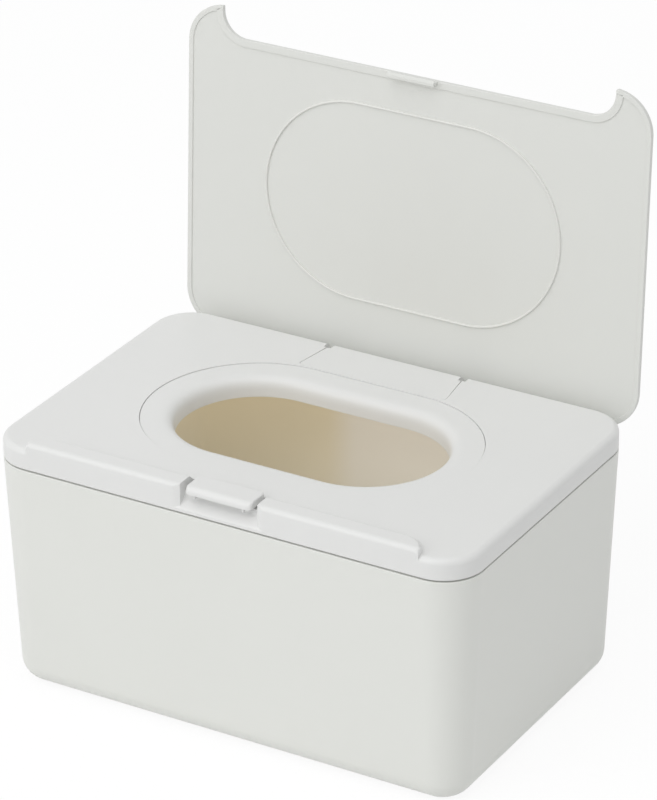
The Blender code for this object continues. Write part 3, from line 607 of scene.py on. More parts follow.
def paint_inside_shade_and_light(tree, outside, attribute, inner, inner_painted_light, place, through):
    """Painted shade and light on the inner walls: a warm tone for the shade inside the tub, painted light
    paler towards +X, and a painted glow for the light that comes through them.
    """
    shader = tree.nodes["Principled BSDF"]
    link = tree.links.new
    mask = add_node(tree, "ShaderNodeAttribute", (-900, 500), attribute_name=attribute)
    split = add_node(tree, "ShaderNodeSeparateXYZ", (-1050, 700))
    link(place.outputs["Object"], split.inputs[0])
    # Painted light: paler towards +X, where light through the mouth falls on the rear wall.
    along = add_node(tree, "ShaderNodeMapRange", (-850, 700), interpolation_type="SMOOTHSTEP")
    along.inputs["From Min"].default_value = PAINTED_SHADE_SHARE * BODY_HIGH.x
    along.inputs["From Max"].default_value = PAINTED_LIGHT_SHARE * BODY_HIGH.x
    link(split.outputs["X"], along.inputs["Value"])
    tone = add_node(tree, "ShaderNodeMix", (-600, 650), data_type="RGBA")
    tone.inputs["A"].default_value = (*inner, 1)
    tone.inputs["B"].default_value = (*inner_painted_light, 1)
    link(along.outputs["Result"], tone.inputs["Factor"])
    both = add_node(tree, "ShaderNodeMix", (-300, 450), data_type="RGBA")
    link(mask.outputs["Fac"], both.inputs["Factor"])
    link(outside, both.inputs["A"])
    link(tone.outputs["Result"], both.inputs["B"])
    # Painted glow: the inner walls give off light of their own tone, standing in for daylight through the
    # walls.
    glow = add_node(tree, "ShaderNodeMath", (-300, 650), operation="MULTIPLY")
    glow.inputs[1].default_value = through
    link(mask.outputs["Fac"], glow.inputs[0])
    link(glow.outputs[0], shader.inputs["Emission Strength"])
    link(tone.outputs["Result"], shader.inputs["Emission Color"])
    return both.outputs["Result"]


def steel(name, colour):
    """Drawn spring steel with fine lines."""
    material = bpy.data.materials.new(name)
    material.use_nodes = True
    tree = material.node_tree
    link = tree.links.new
    shader = tree.nodes["Principled BSDF"]
    shader.inputs["Metallic"].default_value = 1.0
    place = add_node(tree, "ShaderNodeTexCoord", (-900, 0))
    lines = add_node(tree, "ShaderNodeTexNoise", (-650, 0))
    lines.inputs["Scale"].default_value = STEEL_LINES
    link(place.outputs["Object"], lines.inputs["Vector"])
    base = add_node(tree, "ShaderNodeMix", (-350, 150), data_type="RGBA")
    base.inputs["A"].default_value = (*[c * STEEL_SHADE for c in colour], 1)
    base.inputs["B"].default_value = (*colour, 1)
    link(lines.outputs["Fac"], base.inputs["Factor"])
    link(base.outputs["Result"], shader.inputs["Base Color"])
    gloss = add_node(tree, "ShaderNodeMapRange", (-350, -100))
    gloss.inputs["To Min"].default_value = STEEL_GLOSS[0]
    gloss.inputs["To Max"].default_value = STEEL_GLOSS[1]
    link(lines.outputs["Fac"], gloss.inputs["Value"])
    link(gloss.outputs["Result"], shader.inputs["Roughness"])
    return material


def finish_of(settings, kind):
    """The finish of a kind of piece, made once."""
    if kind in bpy.data.materials:
        return bpy.data.materials[kind]
    finish = settings.finish
    if kind == "tub_plastic":
        # The tub's inner walls carry painted shade, painted light and a painted glow.
        return plastic(
            kind, finish.shell, finish.roughness, finish.grain, attribute="inner",
            inner=finish.inside, inner_painted_light=finish.inside_painted_light, through=finish.through,
        )
    if kind == "deck_plastic":
        return plastic(kind, finish.deck, finish.roughness, finish.grain)
    # Painted shade: the lid's plastic is a darker copy of the same white.
    if kind == "lid_plastic":
        return plastic(kind, finish.lid, finish.roughness, finish.grain)
    if kind == "seal_rubber":
        return plastic(kind, finish.seal, SEAL_ROUGHNESS, finish.grain)
    return steel(kind, finish.steel)


def tub_outline(body, inset):
    """Plan of the body, drawn in by an inset."""
    return rounded_rectangle(body.width / 2 - inset, body.depth / 2 - inset, body.corner - inset)


def tub_inset(body, z):
    """How far the drafted side stands inside the parting outline at a height."""
    return body.draft * (1 - z / body.parting)


def bottom_rounding(body, floor, radius, wall):
    """Rings that roll from a floor up into the drafted side."""
    rings = []
    for turn in quarter(2 * FILLET_STEPS):
        z = floor + radius * (1 - cos(turn))
        inset = tub_inset(body, floor + radius) + wall + radius * (1 - sin(turn))
        rings.append(at_height(tub_outline(body, inset), z))
    return rings


class DISPENSER_OT_tub(bpy.types.Operator):
    """Build the tub: drafted walls, rolled lower edge and painted shade, light and glow on its inner walls"""

    bl_idname = "dispenser.tub"
    bl_label = "Tub"

    def execute(self, context):
        settings = context.scene.dispenser
        body = settings.body
        top = body.parting - body.line / 2
        outside = bottom_rounding(body, 0, body.bottom, 0)
        inside = bottom_rounding(body, body.floor, body.bottom - body.wall, body.wall)
        rim = []
        for turn in quarter(RIM_STEPS):
            inset = body.rim * (1 - cos(turn))
            rim.append(at_height(tub_outline(body, inset), top - body.rim * (1 - sin(turn))))
        for turn in quarter(RIM_STEPS):
            inset = body.wall - body.rim * (1 - sin(turn))
            rim.append(at_height(tub_outline(body, inset), top - body.rim * (1 - cos(turn))))
        # The painted shade, painted light and painted glow of the inner walls end where the deck's skirt
        # begins.
        painted_inside_top = body.parting - settings.deck.skirt
        for z in (painted_inside_top + body.gap, painted_inside_top):
            rim.append(at_height(tub_outline(body, body.wall + tub_inset(body, z)), z))
        rings = outside + rim + inside[::-1]
        tub = loft("tub_shell", rings)
        middle = body.wall / 2
        painted_inside_mask = tub.data.attributes.new("inner", "FLOAT", "POINT")
        for vertex, value in zip(tub.data.vertices, painted_inside_mask.data):
            below = vertex.co.z < painted_inside_top + body.gap / 2
            value.value = 1.0 if below and is_inside(body, vertex.co, middle) else 0.0
        present(tub, "tub", "tub", finish_of(settings, "tub_plastic"))
        return {"FINISHED"}


def is_inside(body, point, depth):
    """Whether a point lies deeper than a depth inside the tub's outer skin."""
    inset = tub_inset(body, point.z)
    reach_x = body.width / 2 - inset - body.corner
    reach_y = body.depth / 2 - inset - body.corner
    off = Vector((max(abs(point.x) - reach_x, 0), max(abs(point.y) - reach_y, 0)))
    return off.length < body.corner - inset - depth and point.z > depth


def rounded_edge(body, top, radius):
    """Rings over the deck's rounded outer edge, ending on its flat top."""
    rings = []
    for turn in quarter(FILLET_STEPS):
        inset = radius * (1 - cos(turn))
        rings.append(at_height(tub_outline(body, inset), top - radius * (1 - sin(turn))))
    return rings


def deck_shell(body, deck):
    """The deck's plate, rim and skirt as one skin."""
    skirt_outer = body.wall + body.gap + tub_inset(body, body.parting - deck.skirt)
    skirt_inner = skirt_outer + deck.skirt_wall
    low = body.parting + body.line / 2
    top = body.parting + deck.rise
    foot = body.parting - deck.skirt
    rings = [
        at_height(tub_outline(body, skirt_inner), top - deck.plate),
        at_height(tub_outline(body, skirt_inner), foot),
        at_height(tub_outline(body, skirt_outer), foot),
        at_height(tub_outline(body, body.wall + body.gap), low),
    ]
    for turn in quarter(RIM_STEPS):
        inset = body.rim * (1 - sin(turn))
        rings.append(at_height(tub_outline(body, inset), low + body.rim * (1 - cos(turn))))
    rings += rounded_edge(body, top, deck.edge)
    return loft("deck_shell", rings)


def strip_profile(body, deck, rise, forward):
    """Side view of the strip: round front edge, flat crest, smooth back slope."""
    front = -body.depth / 2
    root = body.parting + deck.rise - deck.edge - 2 * body.gap
    top = body.parting + deck.rise + rise
    radius = deck.strip_front
    points = [(front, root)]
    points += arc(front + radius, top - radius, radius, pi, pi / 2, FILLET_STEPS)
    crest = front + max(deck.strip_crest - forward, radius)
    foot = max(front + deck.strip_foot - forward, crest + deck.strip_slope)
    slope = foot - crest
    steps = 3 * FILLET_STEPS
    for i in range(steps + 1):
        along = i / steps
        fall = along * along * (3 - 2 * along)
        points.append((crest + slope * along, top - rise * fall))
    points.append((foot, root))
    return points


def build_strip(body, deck):
    """The strip, with round rear corners in plan and rounded ends."""
    ends = []
    for turn in quarter(CORNER_STEPS):
        x = deck.strip_half - deck.strip_corner * (1 - sin(turn))
        into_end = min(deck.strip_end, max(0.0, x - deck.strip_half + deck.strip_end))
        fall = deck.strip_end - sqrt(deck.strip_end**2 - into_end**2)
        ends.append((x, deck.strip_rise - fall, deck.strip_corner * (1 - cos(turn))))
    stations = [(-x, rise, forward) for x, rise, forward in ends[::-1]] + ends
    rings = []
    for x, rise, forward in stations:
        profile = strip_profile(body, deck, rise, forward)
        rings.append([Vector((x, y, z)) for y, z in profile])
    return loft("front_strip", rings)


def bay_outline(body, deck, depth):
    """Plan of the button's bay to a depth, flared by a shallow chamfer at the front face."""
    front = -body.depth / 2
    wide = deck.bay_half + deck.bay_flare
    flare = [(wide, front - OVERRUN), (wide, front), (deck.bay_half, front + deck.bay_flare_depth)]
    return mirror(flare + [(deck.bay_half, front + depth)])


def build_scoop(body, deck):
    """What stays under the thumb recess: a soft edge, a slope and a hollow sweep up its back."""
    front = -body.depth / 2
    wall = front + deck.thumb_depth
    floor = body.parting + deck.thumb_floor
    lean, lip, radius = deck.thumb_lean, deck.thumb_lip, deck.thumb_sweep
    outer, back, under = front - 2 * OVERRUN, wall + OVERRUN, floor - lip
    edge = arc(front + lip - body.gap / 10, floor, lip, pi, pi - lean, FILLET_STEPS)
    slope_depth = wall - radius * (1 - cos(lean)) - edge[-1][0]
    sweep_z = edge[-1][1] + slope_depth / tan(lean) + radius * sin(lean)
    sweep = arc(wall - radius, sweep_z, radius, -lean, 0, FILLET_STEPS)
    profile = [(outer, under), (back, under), (back, sweep_z)] + sweep[::-1] + edge[::-1] + [(outer, floor)]
    reach = deck.bay_half + deck.bay_flare + OVERRUN
    return prism("scoop", profile, -reach, reach, along="X")


def cover_outline(body, mouth, hinge, grow, past=0.0):
    """Plan of the hinge cover, or of its seat when grown by a clearance and run past its end."""
    cover_front = mouth.radius + hinge.space
    slot_front = body.depth / 2 - hinge.slot
    front = cover_front + body.gap - grow
    flare = (hinge.front_half - hinge.rear_half) / (slot_front - cover_front)
    half_front = hinge.front_half - body.gap + grow
    half_slot = hinge.rear_half - body.gap + grow
    radius = hinge.corner
    bend = arc(half_front - radius * (1 + flare), front + radius, radius, -pi / 2, 0, FILLET_STEPS)
    return mirror([(half_slot, slot_front + past)] + bend[::-1])


def deck_joins(body, deck, mouth, hinge):
    """What is added to the deck's shell, as steps for carve."""
    front, rear = -body.depth / 2, body.depth / 2
    top = body.parting + deck.rise
    deep = front + deck.bay_depth + deck.slot_depth + deck.bay_wall
    side = deck.bay_half + deck.bay_wall
    skirt_face = rear - body.wall - body.gap - tub_inset(body, body.parting - deck.skirt) - deck.skirt_wall
    sink = 2 * body.gap
    ledge_top = top - hinge.thickness - body.gap
    ledge_low = ledge_top - hinge.ledge
    cover_front = mouth.radius + hinge.space
    reach = hinge.front_half + hinge.ledge
    wall_half = hinge.lug_centre + hinge.lug_width / 2 + body.gap + hinge.ledge
    slot_front = rear - hinge.slot
    seat = top - mouth.sink - mouth.wall - body.gap
    boss = oval(mouth.straight, mouth.radius + body.gap + mouth.ledge_wall)
    bay_low = body.parting + deck.bay_floor - deck.bay_wall
    plate_middle = top - deck.plate / 2
    housing = block("housing", (-side, front + body.wall, bay_low), (side, deep, plate_middle))
    ledge = block("ledge", (-reach, cover_front, ledge_low), (reach, skirt_face + sink, ledge_top + sink))
    wall_low = body.parting - deck.skirt / 2
    wall = block(
        "wall",
        (-wall_half, slot_front - hinge.ledge, wall_low),
        (wall_half, skirt_face + sink, ledge_low + sink),
    )
    ring_boss = prism("boss", boss, seat - mouth.ledge_wall, plate_middle)
    return [(helper, JOIN) for helper in (build_strip(body, deck), housing, ledge, wall, ring_boss)]


def deck_cuts(body, deck, mouth, hinge, button):
    """What is taken from the deck, as steps for carve."""
    front, rear = -body.depth / 2, body.depth / 2
    top = body.parting + deck.rise
    over = top + deck.strip_rise + OVERRUN
    seat = top - mouth.sink - mouth.wall - body.gap
    seat_plan = oval(mouth.straight, mouth.radius + body.gap / 2)
    mouth_plan = oval(mouth.straight, mouth.radius + body.gap - mouth.ledge)
    cover_seat = top - hinge.thickness - body.gap
    slot_front = rear - hinge.slot
    slot_outer = hinge.lug_centre + hinge.lug_width / 2 + body.gap
    trough_low = body.parting + body.gap / 2 - OVERRUN / 2
    back = front + deck.bay_depth
    wall_back = front + deck.thumb_depth + deck.thumb_wall
    floor = body.parting + deck.bay_floor
    peg_end = deck.bay_half + button.peg_reach + body.gap
    cover_plan = cover_outline(body, mouth, hinge, body.gap / 2, OVERRUN)
    thumb_low = body.parting + deck.thumb_floor - deck.thumb_lip / 2
    thumb = prism("thumb", bay_outline(body, deck, deck.thumb_depth), thumb_low, over)
    carve(thumb, [(build_scoop(body, deck), CUT)])
    return [
        (prism("ring_seat", seat_plan, seat, over), CUT),
        (prism("mouth", mouth_plan, body.parting, over), CUT),
        (prism("cover_seat", cover_plan, cover_seat, over), CUT),
        (block("trough", (-slot_outer, slot_front, trough_low), (slot_outer, rear + OVERRUN, over)), CUT),
        (prism("bay", bay_outline(body, deck, deck.bay_depth), body.parting + deck.thumb_top, over), CUT),
        (thumb, CUT),
        (block("mechanism", (-deck.bay_half, wall_back, floor), (deck.bay_half, back, over)), CUT),
        (
            block(
                "tongue_slot",
                (-deck.slot_half, back - body.gap, floor),
                (deck.slot_half, back + deck.slot_depth, over),
            ),
            CUT,
        ),
        (rod("peg_bore", button.peg + body.gap / 2, -peg_end, peg_end, PIVOT), CUT),
    ]


class DISPENSER_OT_deck(bpy.types.Operator):
    """Build the deck with its strip, ring seat, cover seat and button bay"""

    bl_idname = "dispenser.deck"
    bl_label = "Deck"

    def execute(self, context):
        settings = context.scene.dispenser
        body, deck, mouth, hinge = settings.body, settings.deck, settings.mouth, settings.hinge
        shell = deck_shell(body, deck)
        carve(shell, deck_joins(body, deck, mouth, hinge))
        carve(shell, deck_cuts(body, deck, mouth, hinge, settings.button))
        soften(shell, deck.lip)
        present(shell, "deck", "deck", finish_of(settings, "deck_plastic"))
        return {"FINISHED"}


def sweep_tree():
    """Geometry nodes that sweep a section object round the oval mouth."""
    name = "oval_sweep"
    if name in bpy.data.node_groups:
        return bpy.data.node_groups[name]
    inputs = (
        ("Geometry", "Geometry"),
        ("Straight", "Float"),
        ("Radius", "Float"),
        ("Points", "Int"),
        ("Section", "Object"),
        ("Material", "Material"),
    )
    tree, entry, leave = new_tree(name, "GeometryNodeTree", inputs, (("Geometry", "Geometry"),))
    circle = add_node(tree, "GeometryNodeCurvePrimitiveCircle", (-650, 100), mode="RADIUS")
    position = add_node(tree, "GeometryNodeInputPosition", (-650, -150))
    split = add_node(tree, "ShaderNodeSeparateXYZ", (-450, -150))
    side = add_node(tree, "ShaderNodeMath", (-280, -150), operation="SIGN")
    shift = add_node(tree, "ShaderNodeMath", (-120, -150), operation="MULTIPLY")
    offset = add_node(tree, "ShaderNodeCombineXYZ", (40, -150))
    stretch = add_node(tree, "GeometryNodeSetPosition", (200, 100))
    upright = add_node(tree, "GeometryNodeSetCurveNormal", (360, 100), mode="Z_UP")
    section = add_node(tree, "GeometryNodeObjectInfo", (200, -250), transform_space="ORIGINAL")
    sweep = add_node(tree, "GeometryNodeCurveToMesh", (520, 100))
    coat = add_node(tree, "GeometryNodeSetMaterial", (680, 100))
    real = add_node(tree, "GeometryNodeRealizeInstances", (840, 100))
    link = tree.links.new
    link(entry.outputs["Points"], circle.inputs["Resolution"])
    link(entry.outputs["Radius"], circle.inputs["Radius"])
    link(position.outputs[0], split.inputs[0])
    link(split.outputs["X"], side.inputs[0])
    link(side.outputs[0], shift.inputs[0])
    link(entry.outputs["Straight"], shift.inputs[1])
    link(shift.outputs[0], offset.inputs["X"])
    link(circle.outputs["Curve"], stretch.inputs["Geometry"])
    link(offset.outputs[0], stretch.inputs["Offset"])
    link(stretch.outputs[0], upright.inputs["Curve"])
    link(entry.outputs["Section"], section.inputs["Object"])
    link(upright.outputs[0], sweep.inputs["Curve"])
    link(section.outputs["Geometry"], sweep.inputs["Profile Curve"])
    link(sweep.outputs[0], coat.inputs["Geometry"])
    link(entry.outputs["Material"], coat.inputs["Material"])
    link(coat.outputs[0], real.inputs[0])
    link(real.outputs[0], leave.inputs["Geometry"])
    return tree


def coil_tree():
    """Geometry nodes that wind a round wire."""
    name = "wire_coil"
    if name in bpy.data.node_groups:
        return bpy.data.node_groups[name]
    inputs = (
        ("Geometry", "Geometry"),
        ("Radius", "Float"),
        ("Turns", "Float"),
        ("Length", "Float"),
        ("Wire", "Float"),
        ("Material", "Material"),
    )
    tree, entry, leave = new_tree(name, "GeometryNodeTree", inputs, (("Geometry", "Geometry"),))
    spiral = add_node(tree, "GeometryNodeCurveSpiral", (-350, 100))
    spiral.inputs["Resolution"].default_value = COIL_STEPS
    wire = add_node(tree, "GeometryNodeCurvePrimitiveCircle", (-350, -200), mode="RADIUS")
    wire.inputs["Resolution"].default_value = WIRE_STEPS
    sweep = add_node(tree, "GeometryNodeCurveToMesh", (0, 50))
    sweep.inputs["Fill Caps"].default_value = True
    coat = add_node(tree, "GeometryNodeSetMaterial", (200, 50))
    real = add_node(tree, "GeometryNodeRealizeInstances", (400, 50))
    link = tree.links.new
    link(entry.outputs["Turns"], spiral.inputs["Rotations"])
    link(entry.outputs["Radius"], spiral.inputs["Start Radius"])
    link(entry.outputs["Radius"], spiral.inputs["End Radius"])
    link(entry.outputs["Length"], spiral.inputs["Height"])
    link(entry.outputs["Wire"], wire.inputs["Radius"])
    link(spiral.outputs[0], sweep.inputs["Curve"])
    link(wire.outputs["Curve"], sweep.inputs["Profile Curve"])
    link(sweep.outputs[0], coat.inputs["Geometry"])
    link(entry.outputs["Material"], coat.inputs["Material"])
    link(coat.outputs[0], real.inputs[0])
    link(real.outputs[0], leave.inputs["Geometry"])
    return tree


def grow(name, tree, values):
    """An object made by a geometry node tree with these inputs, as a plain welded mesh."""
    piece = bpy.data.objects.new(name, bpy.data.meshes.new(name))
    bpy.context.scene.collection.objects.link(piece)
    modifier = piece.modifiers.new(tree.name, "NODES")
    modifier.node_group = tree
    for item in tree.interface.items_tree:
        if item.item_type == "SOCKET" and item.in_out == "INPUT" and item.name in values:
            modifier[item.identifier] = values[item.name]
    settle(piece)
    mesh = bmesh.new()
    mesh.from_mesh(piece.data)
    bmesh.ops.remove_doubles(mesh, verts=mesh.verts, dist=WELD)
    bmesh.ops.recalc_face_normals(mesh, faces=mesh.faces)
    mesh.to_mesh(piece.data)
    mesh.free()
    return piece


def section_curve(name, points):
    """A closed section for the sweep, given as (out from the mouth's middle, up)."""
    path = bpy.data.curves.new(name, "CURVE")
    path.dimensions = "2D"
    spline = path.splines.new("POLY")
    spline.points.add(len(points) - 1)
    for point, (out, up) in zip(spline.points, points):
        point.co = (out, -up, 0, 1)
    spline.use_cyclic_u = True
    guide = bpy.data.objects.new(name, path)
    bpy.context.scene.collection.objects.link(guide)
    return guide


def sweep_oval(name, straight, radius, points, material):
    """A section of these points, swept round an oval path."""
    guide = section_curve(name + "_section", points)
    piece = grow(
        name,
        sweep_tree(),
        {
            "Straight": straight,
            "Radius": radius,
            "Points": 4 * OVAL_STEPS + 2,
            "Section": guide,
            "Material": material,
        },
    )
    bpy.data.objects.remove(guide, do_unlink=True)
    return piece


def square_turn(centre_a, centre_b, radius, power, steps):
    """A quarter turn from level to upright that is tighter in the middle than an arc."""
    points = []
    for turn in quarter(steps):
        a, b = sin(turn) ** (2 / power), cos(turn) ** (2 / power)
        points.append((centre_a - radius * a, centre_b + radius * b))
    return points


class DISPENSER_OT_mouth(bpy.types.Operator):
    """Sweep the funnel's section round the oval mouth"""

    bl_idname = "dispenser.mouth"
    bl_label = "Mouth ring"

    def execute(self, context):
        settings = context.scene.dispenser
        body, deck, mouth = settings.body, settings.deck, settings.mouth
        top = body.parting + deck.rise - mouth.sink
        roll_centre = -mouth.band
        throat = roll_centre - mouth.roll
        floor = -mouth.roll
        steps = 3 * FILLET_STEPS
        lip = mouth.edge
        section = [(0, -mouth.wall)]
        section += arc(-lip, -lip, lip, 0, pi / 2, RIM_STEPS)
        section += square_turn(roll_centre, floor, mouth.roll, mouth.squareness, steps)
        section += arc(throat + lip, floor - mouth.lip + lip, lip, pi, 3 * pi / 2, RIM_STEPS)
        section += arc(throat + mouth.wall - lip, floor - mouth.lip + lip, lip, -pi / 2, 0, RIM_STEPS)
        section += square_turn(roll_centre, floor, mouth.roll - mouth.wall, mouth.squareness, steps)[::-1]
        material = finish_of(settings, "deck_plastic")
        ring = sweep_oval("mouth_funnel", mouth.straight, mouth.radius, section, material)
        ring.data.transform(Matrix.Translation((0, 0, top)))
        present(ring, "deck", "mouth_ring", material)
        return {"FINISHED"}


class DISPENSER_OT_hinge_cover(bpy.types.Operator):
    """Build the cover plate with the knuckles under its rear edge"""

    bl_idname = "dispenser.hinge_cover"
    bl_label = "Hinge cover"

    def execute(self, context):
        settings = context.scene.dispenser
        body, deck, mouth, hinge = settings.body, settings.deck, settings.mouth, settings.hinge
        top = body.parting + deck.rise
        rear = body.depth / 2
        plate_low = top - hinge.thickness
        slot_front = rear - hinge.slot
        low = body.parting + body.gap / 2
        half = hinge.lug_centre - hinge.lug_width / 2 - 2 * body.gap
        cover = prism("hinge_cover_plate", cover_outline(body, mouth, hinge, 0), plate_low, top)
        profile = [(slot_front + body.gap, low), (rear, low)]
        profile += arc(rear - deck.edge, top - deck.edge, deck.edge, 0, pi / 2, FILLET_STEPS)
        profile += [(slot_front - 2 * body.gap, top), (slot_front - 2 * body.gap, plate_low)]
        profile += [(slot_front + body.gap, plate_low)]
        reach = half + OVERRUN
        bore = hinge.pin + hinge.pin_fit
        snap = block(
            "snap",
            (-reach, HINGE.y - hinge.pin, low - OVERRUN),
            (reach, HINGE.y + hinge.pin, HINGE.z),
        )
        spring_bay = block(
            "spring_bay",
            (-hinge.bay_half, slot_front - OVERRUN, low - OVERRUN),
            (hinge.bay_half, rear - hinge.skin, plate_low - body.gap),
        )
        carve(
            cover,
            [
                (prism("rear", profile, -half, half, along="X"), JOIN),
                (rod("bore", bore, -reach, reach, HINGE), CUT),
                (snap, CUT),
                (spring_bay, CUT),
            ],
        )
        soften(cover, deck.lip / 2)
        present(cover, "deck", "hinge_cover", finish_of(settings, "deck_plastic"))
        return {"FINISHED"}


class DISPENSER_OT_hinge_metal(bpy.types.Operator):
    """Build the hinge pin and wind the lid spring on it"""

    bl_idname = "dispenser.hinge_metal"
    bl_label = "Hinge pin and spring"

    def execute(self, context):
        settings = context.scene.dispenser
        hinge = settings.hinge
        material = finish_of(settings, "spring_steel")
        half = hinge.lug_centre + hinge.lug_width / 2
        coil_length = hinge.turns * hinge.pitch
        coil_start = HINGE - Vector((coil_length / 2, 0, 0))
        coil_end = HINGE + Vector((coil_length / 2, 0, 0))
        wide = hinge.wire * CROSS_HOLE_SHARE
        hole = rod("cross_hole", wide, -OVERRUN, OVERRUN, coil_end, along="Z")
        pin = rod("hinge_axle", hinge.pin, -half, half, HINGE, chamfer=hinge.wire)
        carve(pin, [(hole, CUT)])
        present(pin, "lid", "hinge_pin", material)

        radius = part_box("lid_spring")[1].z - HINGE.z - hinge.wire
        values = {
            "Radius": radius,
            "Turns": float(hinge.turns),
            "Length": coil_length,
            "Wire": hinge.wire,
            "Material": material,
        }
        coil = grow("lid_coil", coil_tree(), values)
        turn = Matrix.Rotation(pi / 2, 4, "Y")
        coil.data.transform(Matrix.Translation(coil_start) @ turn)
        start = HINGE + Vector((-coil_length / 2, 0, -radius))
        outer_leg = rod("outer_leg", hinge.wire, -hinge.leg, 0, (0, 0, 0), along="Z")
        outer_leg.data.transform(Matrix.Translation(start) @ Matrix.Rotation(-pi / 2, 4, "X"))
        inner_leg = rod("inner_leg", hinge.wire, -radius, hinge.pin, coil_end, along="Z")
        carve(coil, [(outer_leg, JOIN), (inner_leg, JOIN)])
        present(coil, "deck", "lid_spring", material)
        return {"FINISHED"}


def lid_plan(body, lid, inset, notch_inset=None):
    """The closed lid's outline, drawn in by an inset, which may differ along the notch."""
    into = inset if notch_inset is None else notch_inset
    half_x = body.width / 2 - lid.side_inset
    half_y = body.depth / 2 + lid.overhang
    radius = lid.corner
    middle_x, middle_y = half_x - radius, half_y - radius
    edge = -half_y + lid.notch_depth
    bend = lid.notch_corner
    tip = max(lid.tip - into, 0.0)
    tip_x = lid.notch_half + into + tip
    past = max(tip_x - middle_x, 0.0)
    span = sqrt((radius - inset - tip) ** 2 - past**2)
    turn = atan2(past, span)
    right = arc(lid.notch_half - bend, edge - bend, bend + into, pi / 2, 0, CORNER_STEPS)
    right += arc(tip_x, -middle_y - span, tip, pi, 3 * pi / 2 + turn, FILLET_STEPS)
    right += arc(middle_x, -middle_y, radius - inset, turn - pi / 2, 0, CORNER_STEPS)
    right += arc(middle_x, middle_y, radius - inset, 0, pi / 2, CORNER_STEPS)
    return mirror(right)


def opened(piece):
    """Turns a piece that was shaped with the lid closed to where the lid stands open."""
    there = Matrix.Translation(HINGE)
    piece.data.transform(there @ Matrix.Rotation(-LID_OPEN, 4, "X") @ there.inverted())
    return piece


def build_lug(hinge, side, root):
    """A hinge lug: a round eye at the pin and an arm up to the lid."""
    radius = hinge.lug_radius
    profile = arc(HINGE.y, HINGE.z, radius, pi, 2 * pi, ROUND_STEPS // 2)
    profile += [(HINGE.y + radius, root), (HINGE.y - radius, root)]
    half = hinge.lug_width / 2
    lug = prism("lug", profile, side - half, side + half, along="X")
    return soften(lug, hinge.wire)


def build_catch(body, lid, face, root):
    """The tongue at the middle of the notch, with a barb towards the button."""
    edge = -body.depth / 2 - lid.overhang + lid.notch_depth
    tip = face - lid.catch_length
    profile = [
        (edge, root),
        (edge, tip + lid.barb_height),
        (edge - lid.barb, tip + lid.barb_height),
        (edge, tip),
        (edge + lid.catch_wall, tip),
        (edge + lid.catch_wall, root),
    ]
    catch = prism("catch", profile, -lid.catch_half, lid.catch_half, along="X")
    return soften(catch, lid.inner_edge / 2)


class DISPENSER_OT_lid(bpy.types.Operator):
    """Build the lid with its rim, notch, lugs and catch, and stand it open"""

    bl_idname = "dispenser.lid"
    bl_label = "Lid"

    def execute(self, context):
        settings = context.scene.dispenser
        body, deck, lid, hinge = settings.body, settings.deck, settings.lid, settings.hinge
        face = body.parting + deck.rise + body.gap
        outer = face + lid.thickness
        panel = face + lid.sink
        soft = lid.inner_edge
        inner = [(0, panel)] + [(soft * (1 - cos(t)), face + soft * (1 - sin(t))) for t in quarter(SOFT_STEPS)]
        rings = [at_height(lid_plan(body, lid, lid.rim - d, lid.notch_rim - d), z) for d, z in inner]
        edge = [(soft * (1 - sin(t)), face + soft * (1 - cos(t))) for t in quarter(RIM_STEPS)]
        bend = lid.outer_edge
        edge += [(bend * (1 - cos(t)), outer - bend * (1 - sin(t))) for t in quarter(EDGE_STEPS)]
        rings += [at_height(lid_plan(body, lid, inset), z) for inset, z in edge]
        shell = loft("lid_panel", rings)
        root = panel + body.gap
        bore = hinge.pin + hinge.pin_fit
        reach = hinge.lug_centre + hinge.lug_width
        steps = [(build_lug(hinge, side, root), JOIN) for side in (-hinge.lug_centre, hinge.lug_centre)]
        steps += [(build_catch(body, lid, face, root), JOIN)]
        steps += [(rod("lug_bore", bore, -reach, reach, HINGE), CUT)]
        carve(shell, steps)
        opened(shell)
        present(shell, "lid", "lid", finish_of(settings, "lid_plastic"))
        return {"FINISHED"}


class DISPENSER_OT_seal(bpy.types.Operator):
    """Sweep the soft bead round the lid's inner face"""

    bl_idname = "dispenser.seal"
    bl_label = "Lid seal"

    def execute(self, context):
        settings = context.scene.dispenser
        body, deck, mouth, lid = settings.body, settings.deck, settings.mouth, settings.lid
        face = body.parting + deck.rise + body.gap
        half = lid.seal_width / 2
        crest = -lid.seal_stand
        section = [(half, lid.sink + body.gap), (-half, lid.sink + body.gap)]
        section += arc(0, crest + half, half, pi, 2 * pi, FILLET_STEPS)
        material = finish_of(settings, "seal_rubber")
        radius = mouth.radius - lid.seal_inset
        bead = sweep_oval("seal_bead", mouth.straight, radius, section, material)
        bead.data.transform(Matrix.Translation((0, 0, face)))
        opened(bead)
        present(bead, "lid", "lid_seal", material)
        return {"FINISHED"}


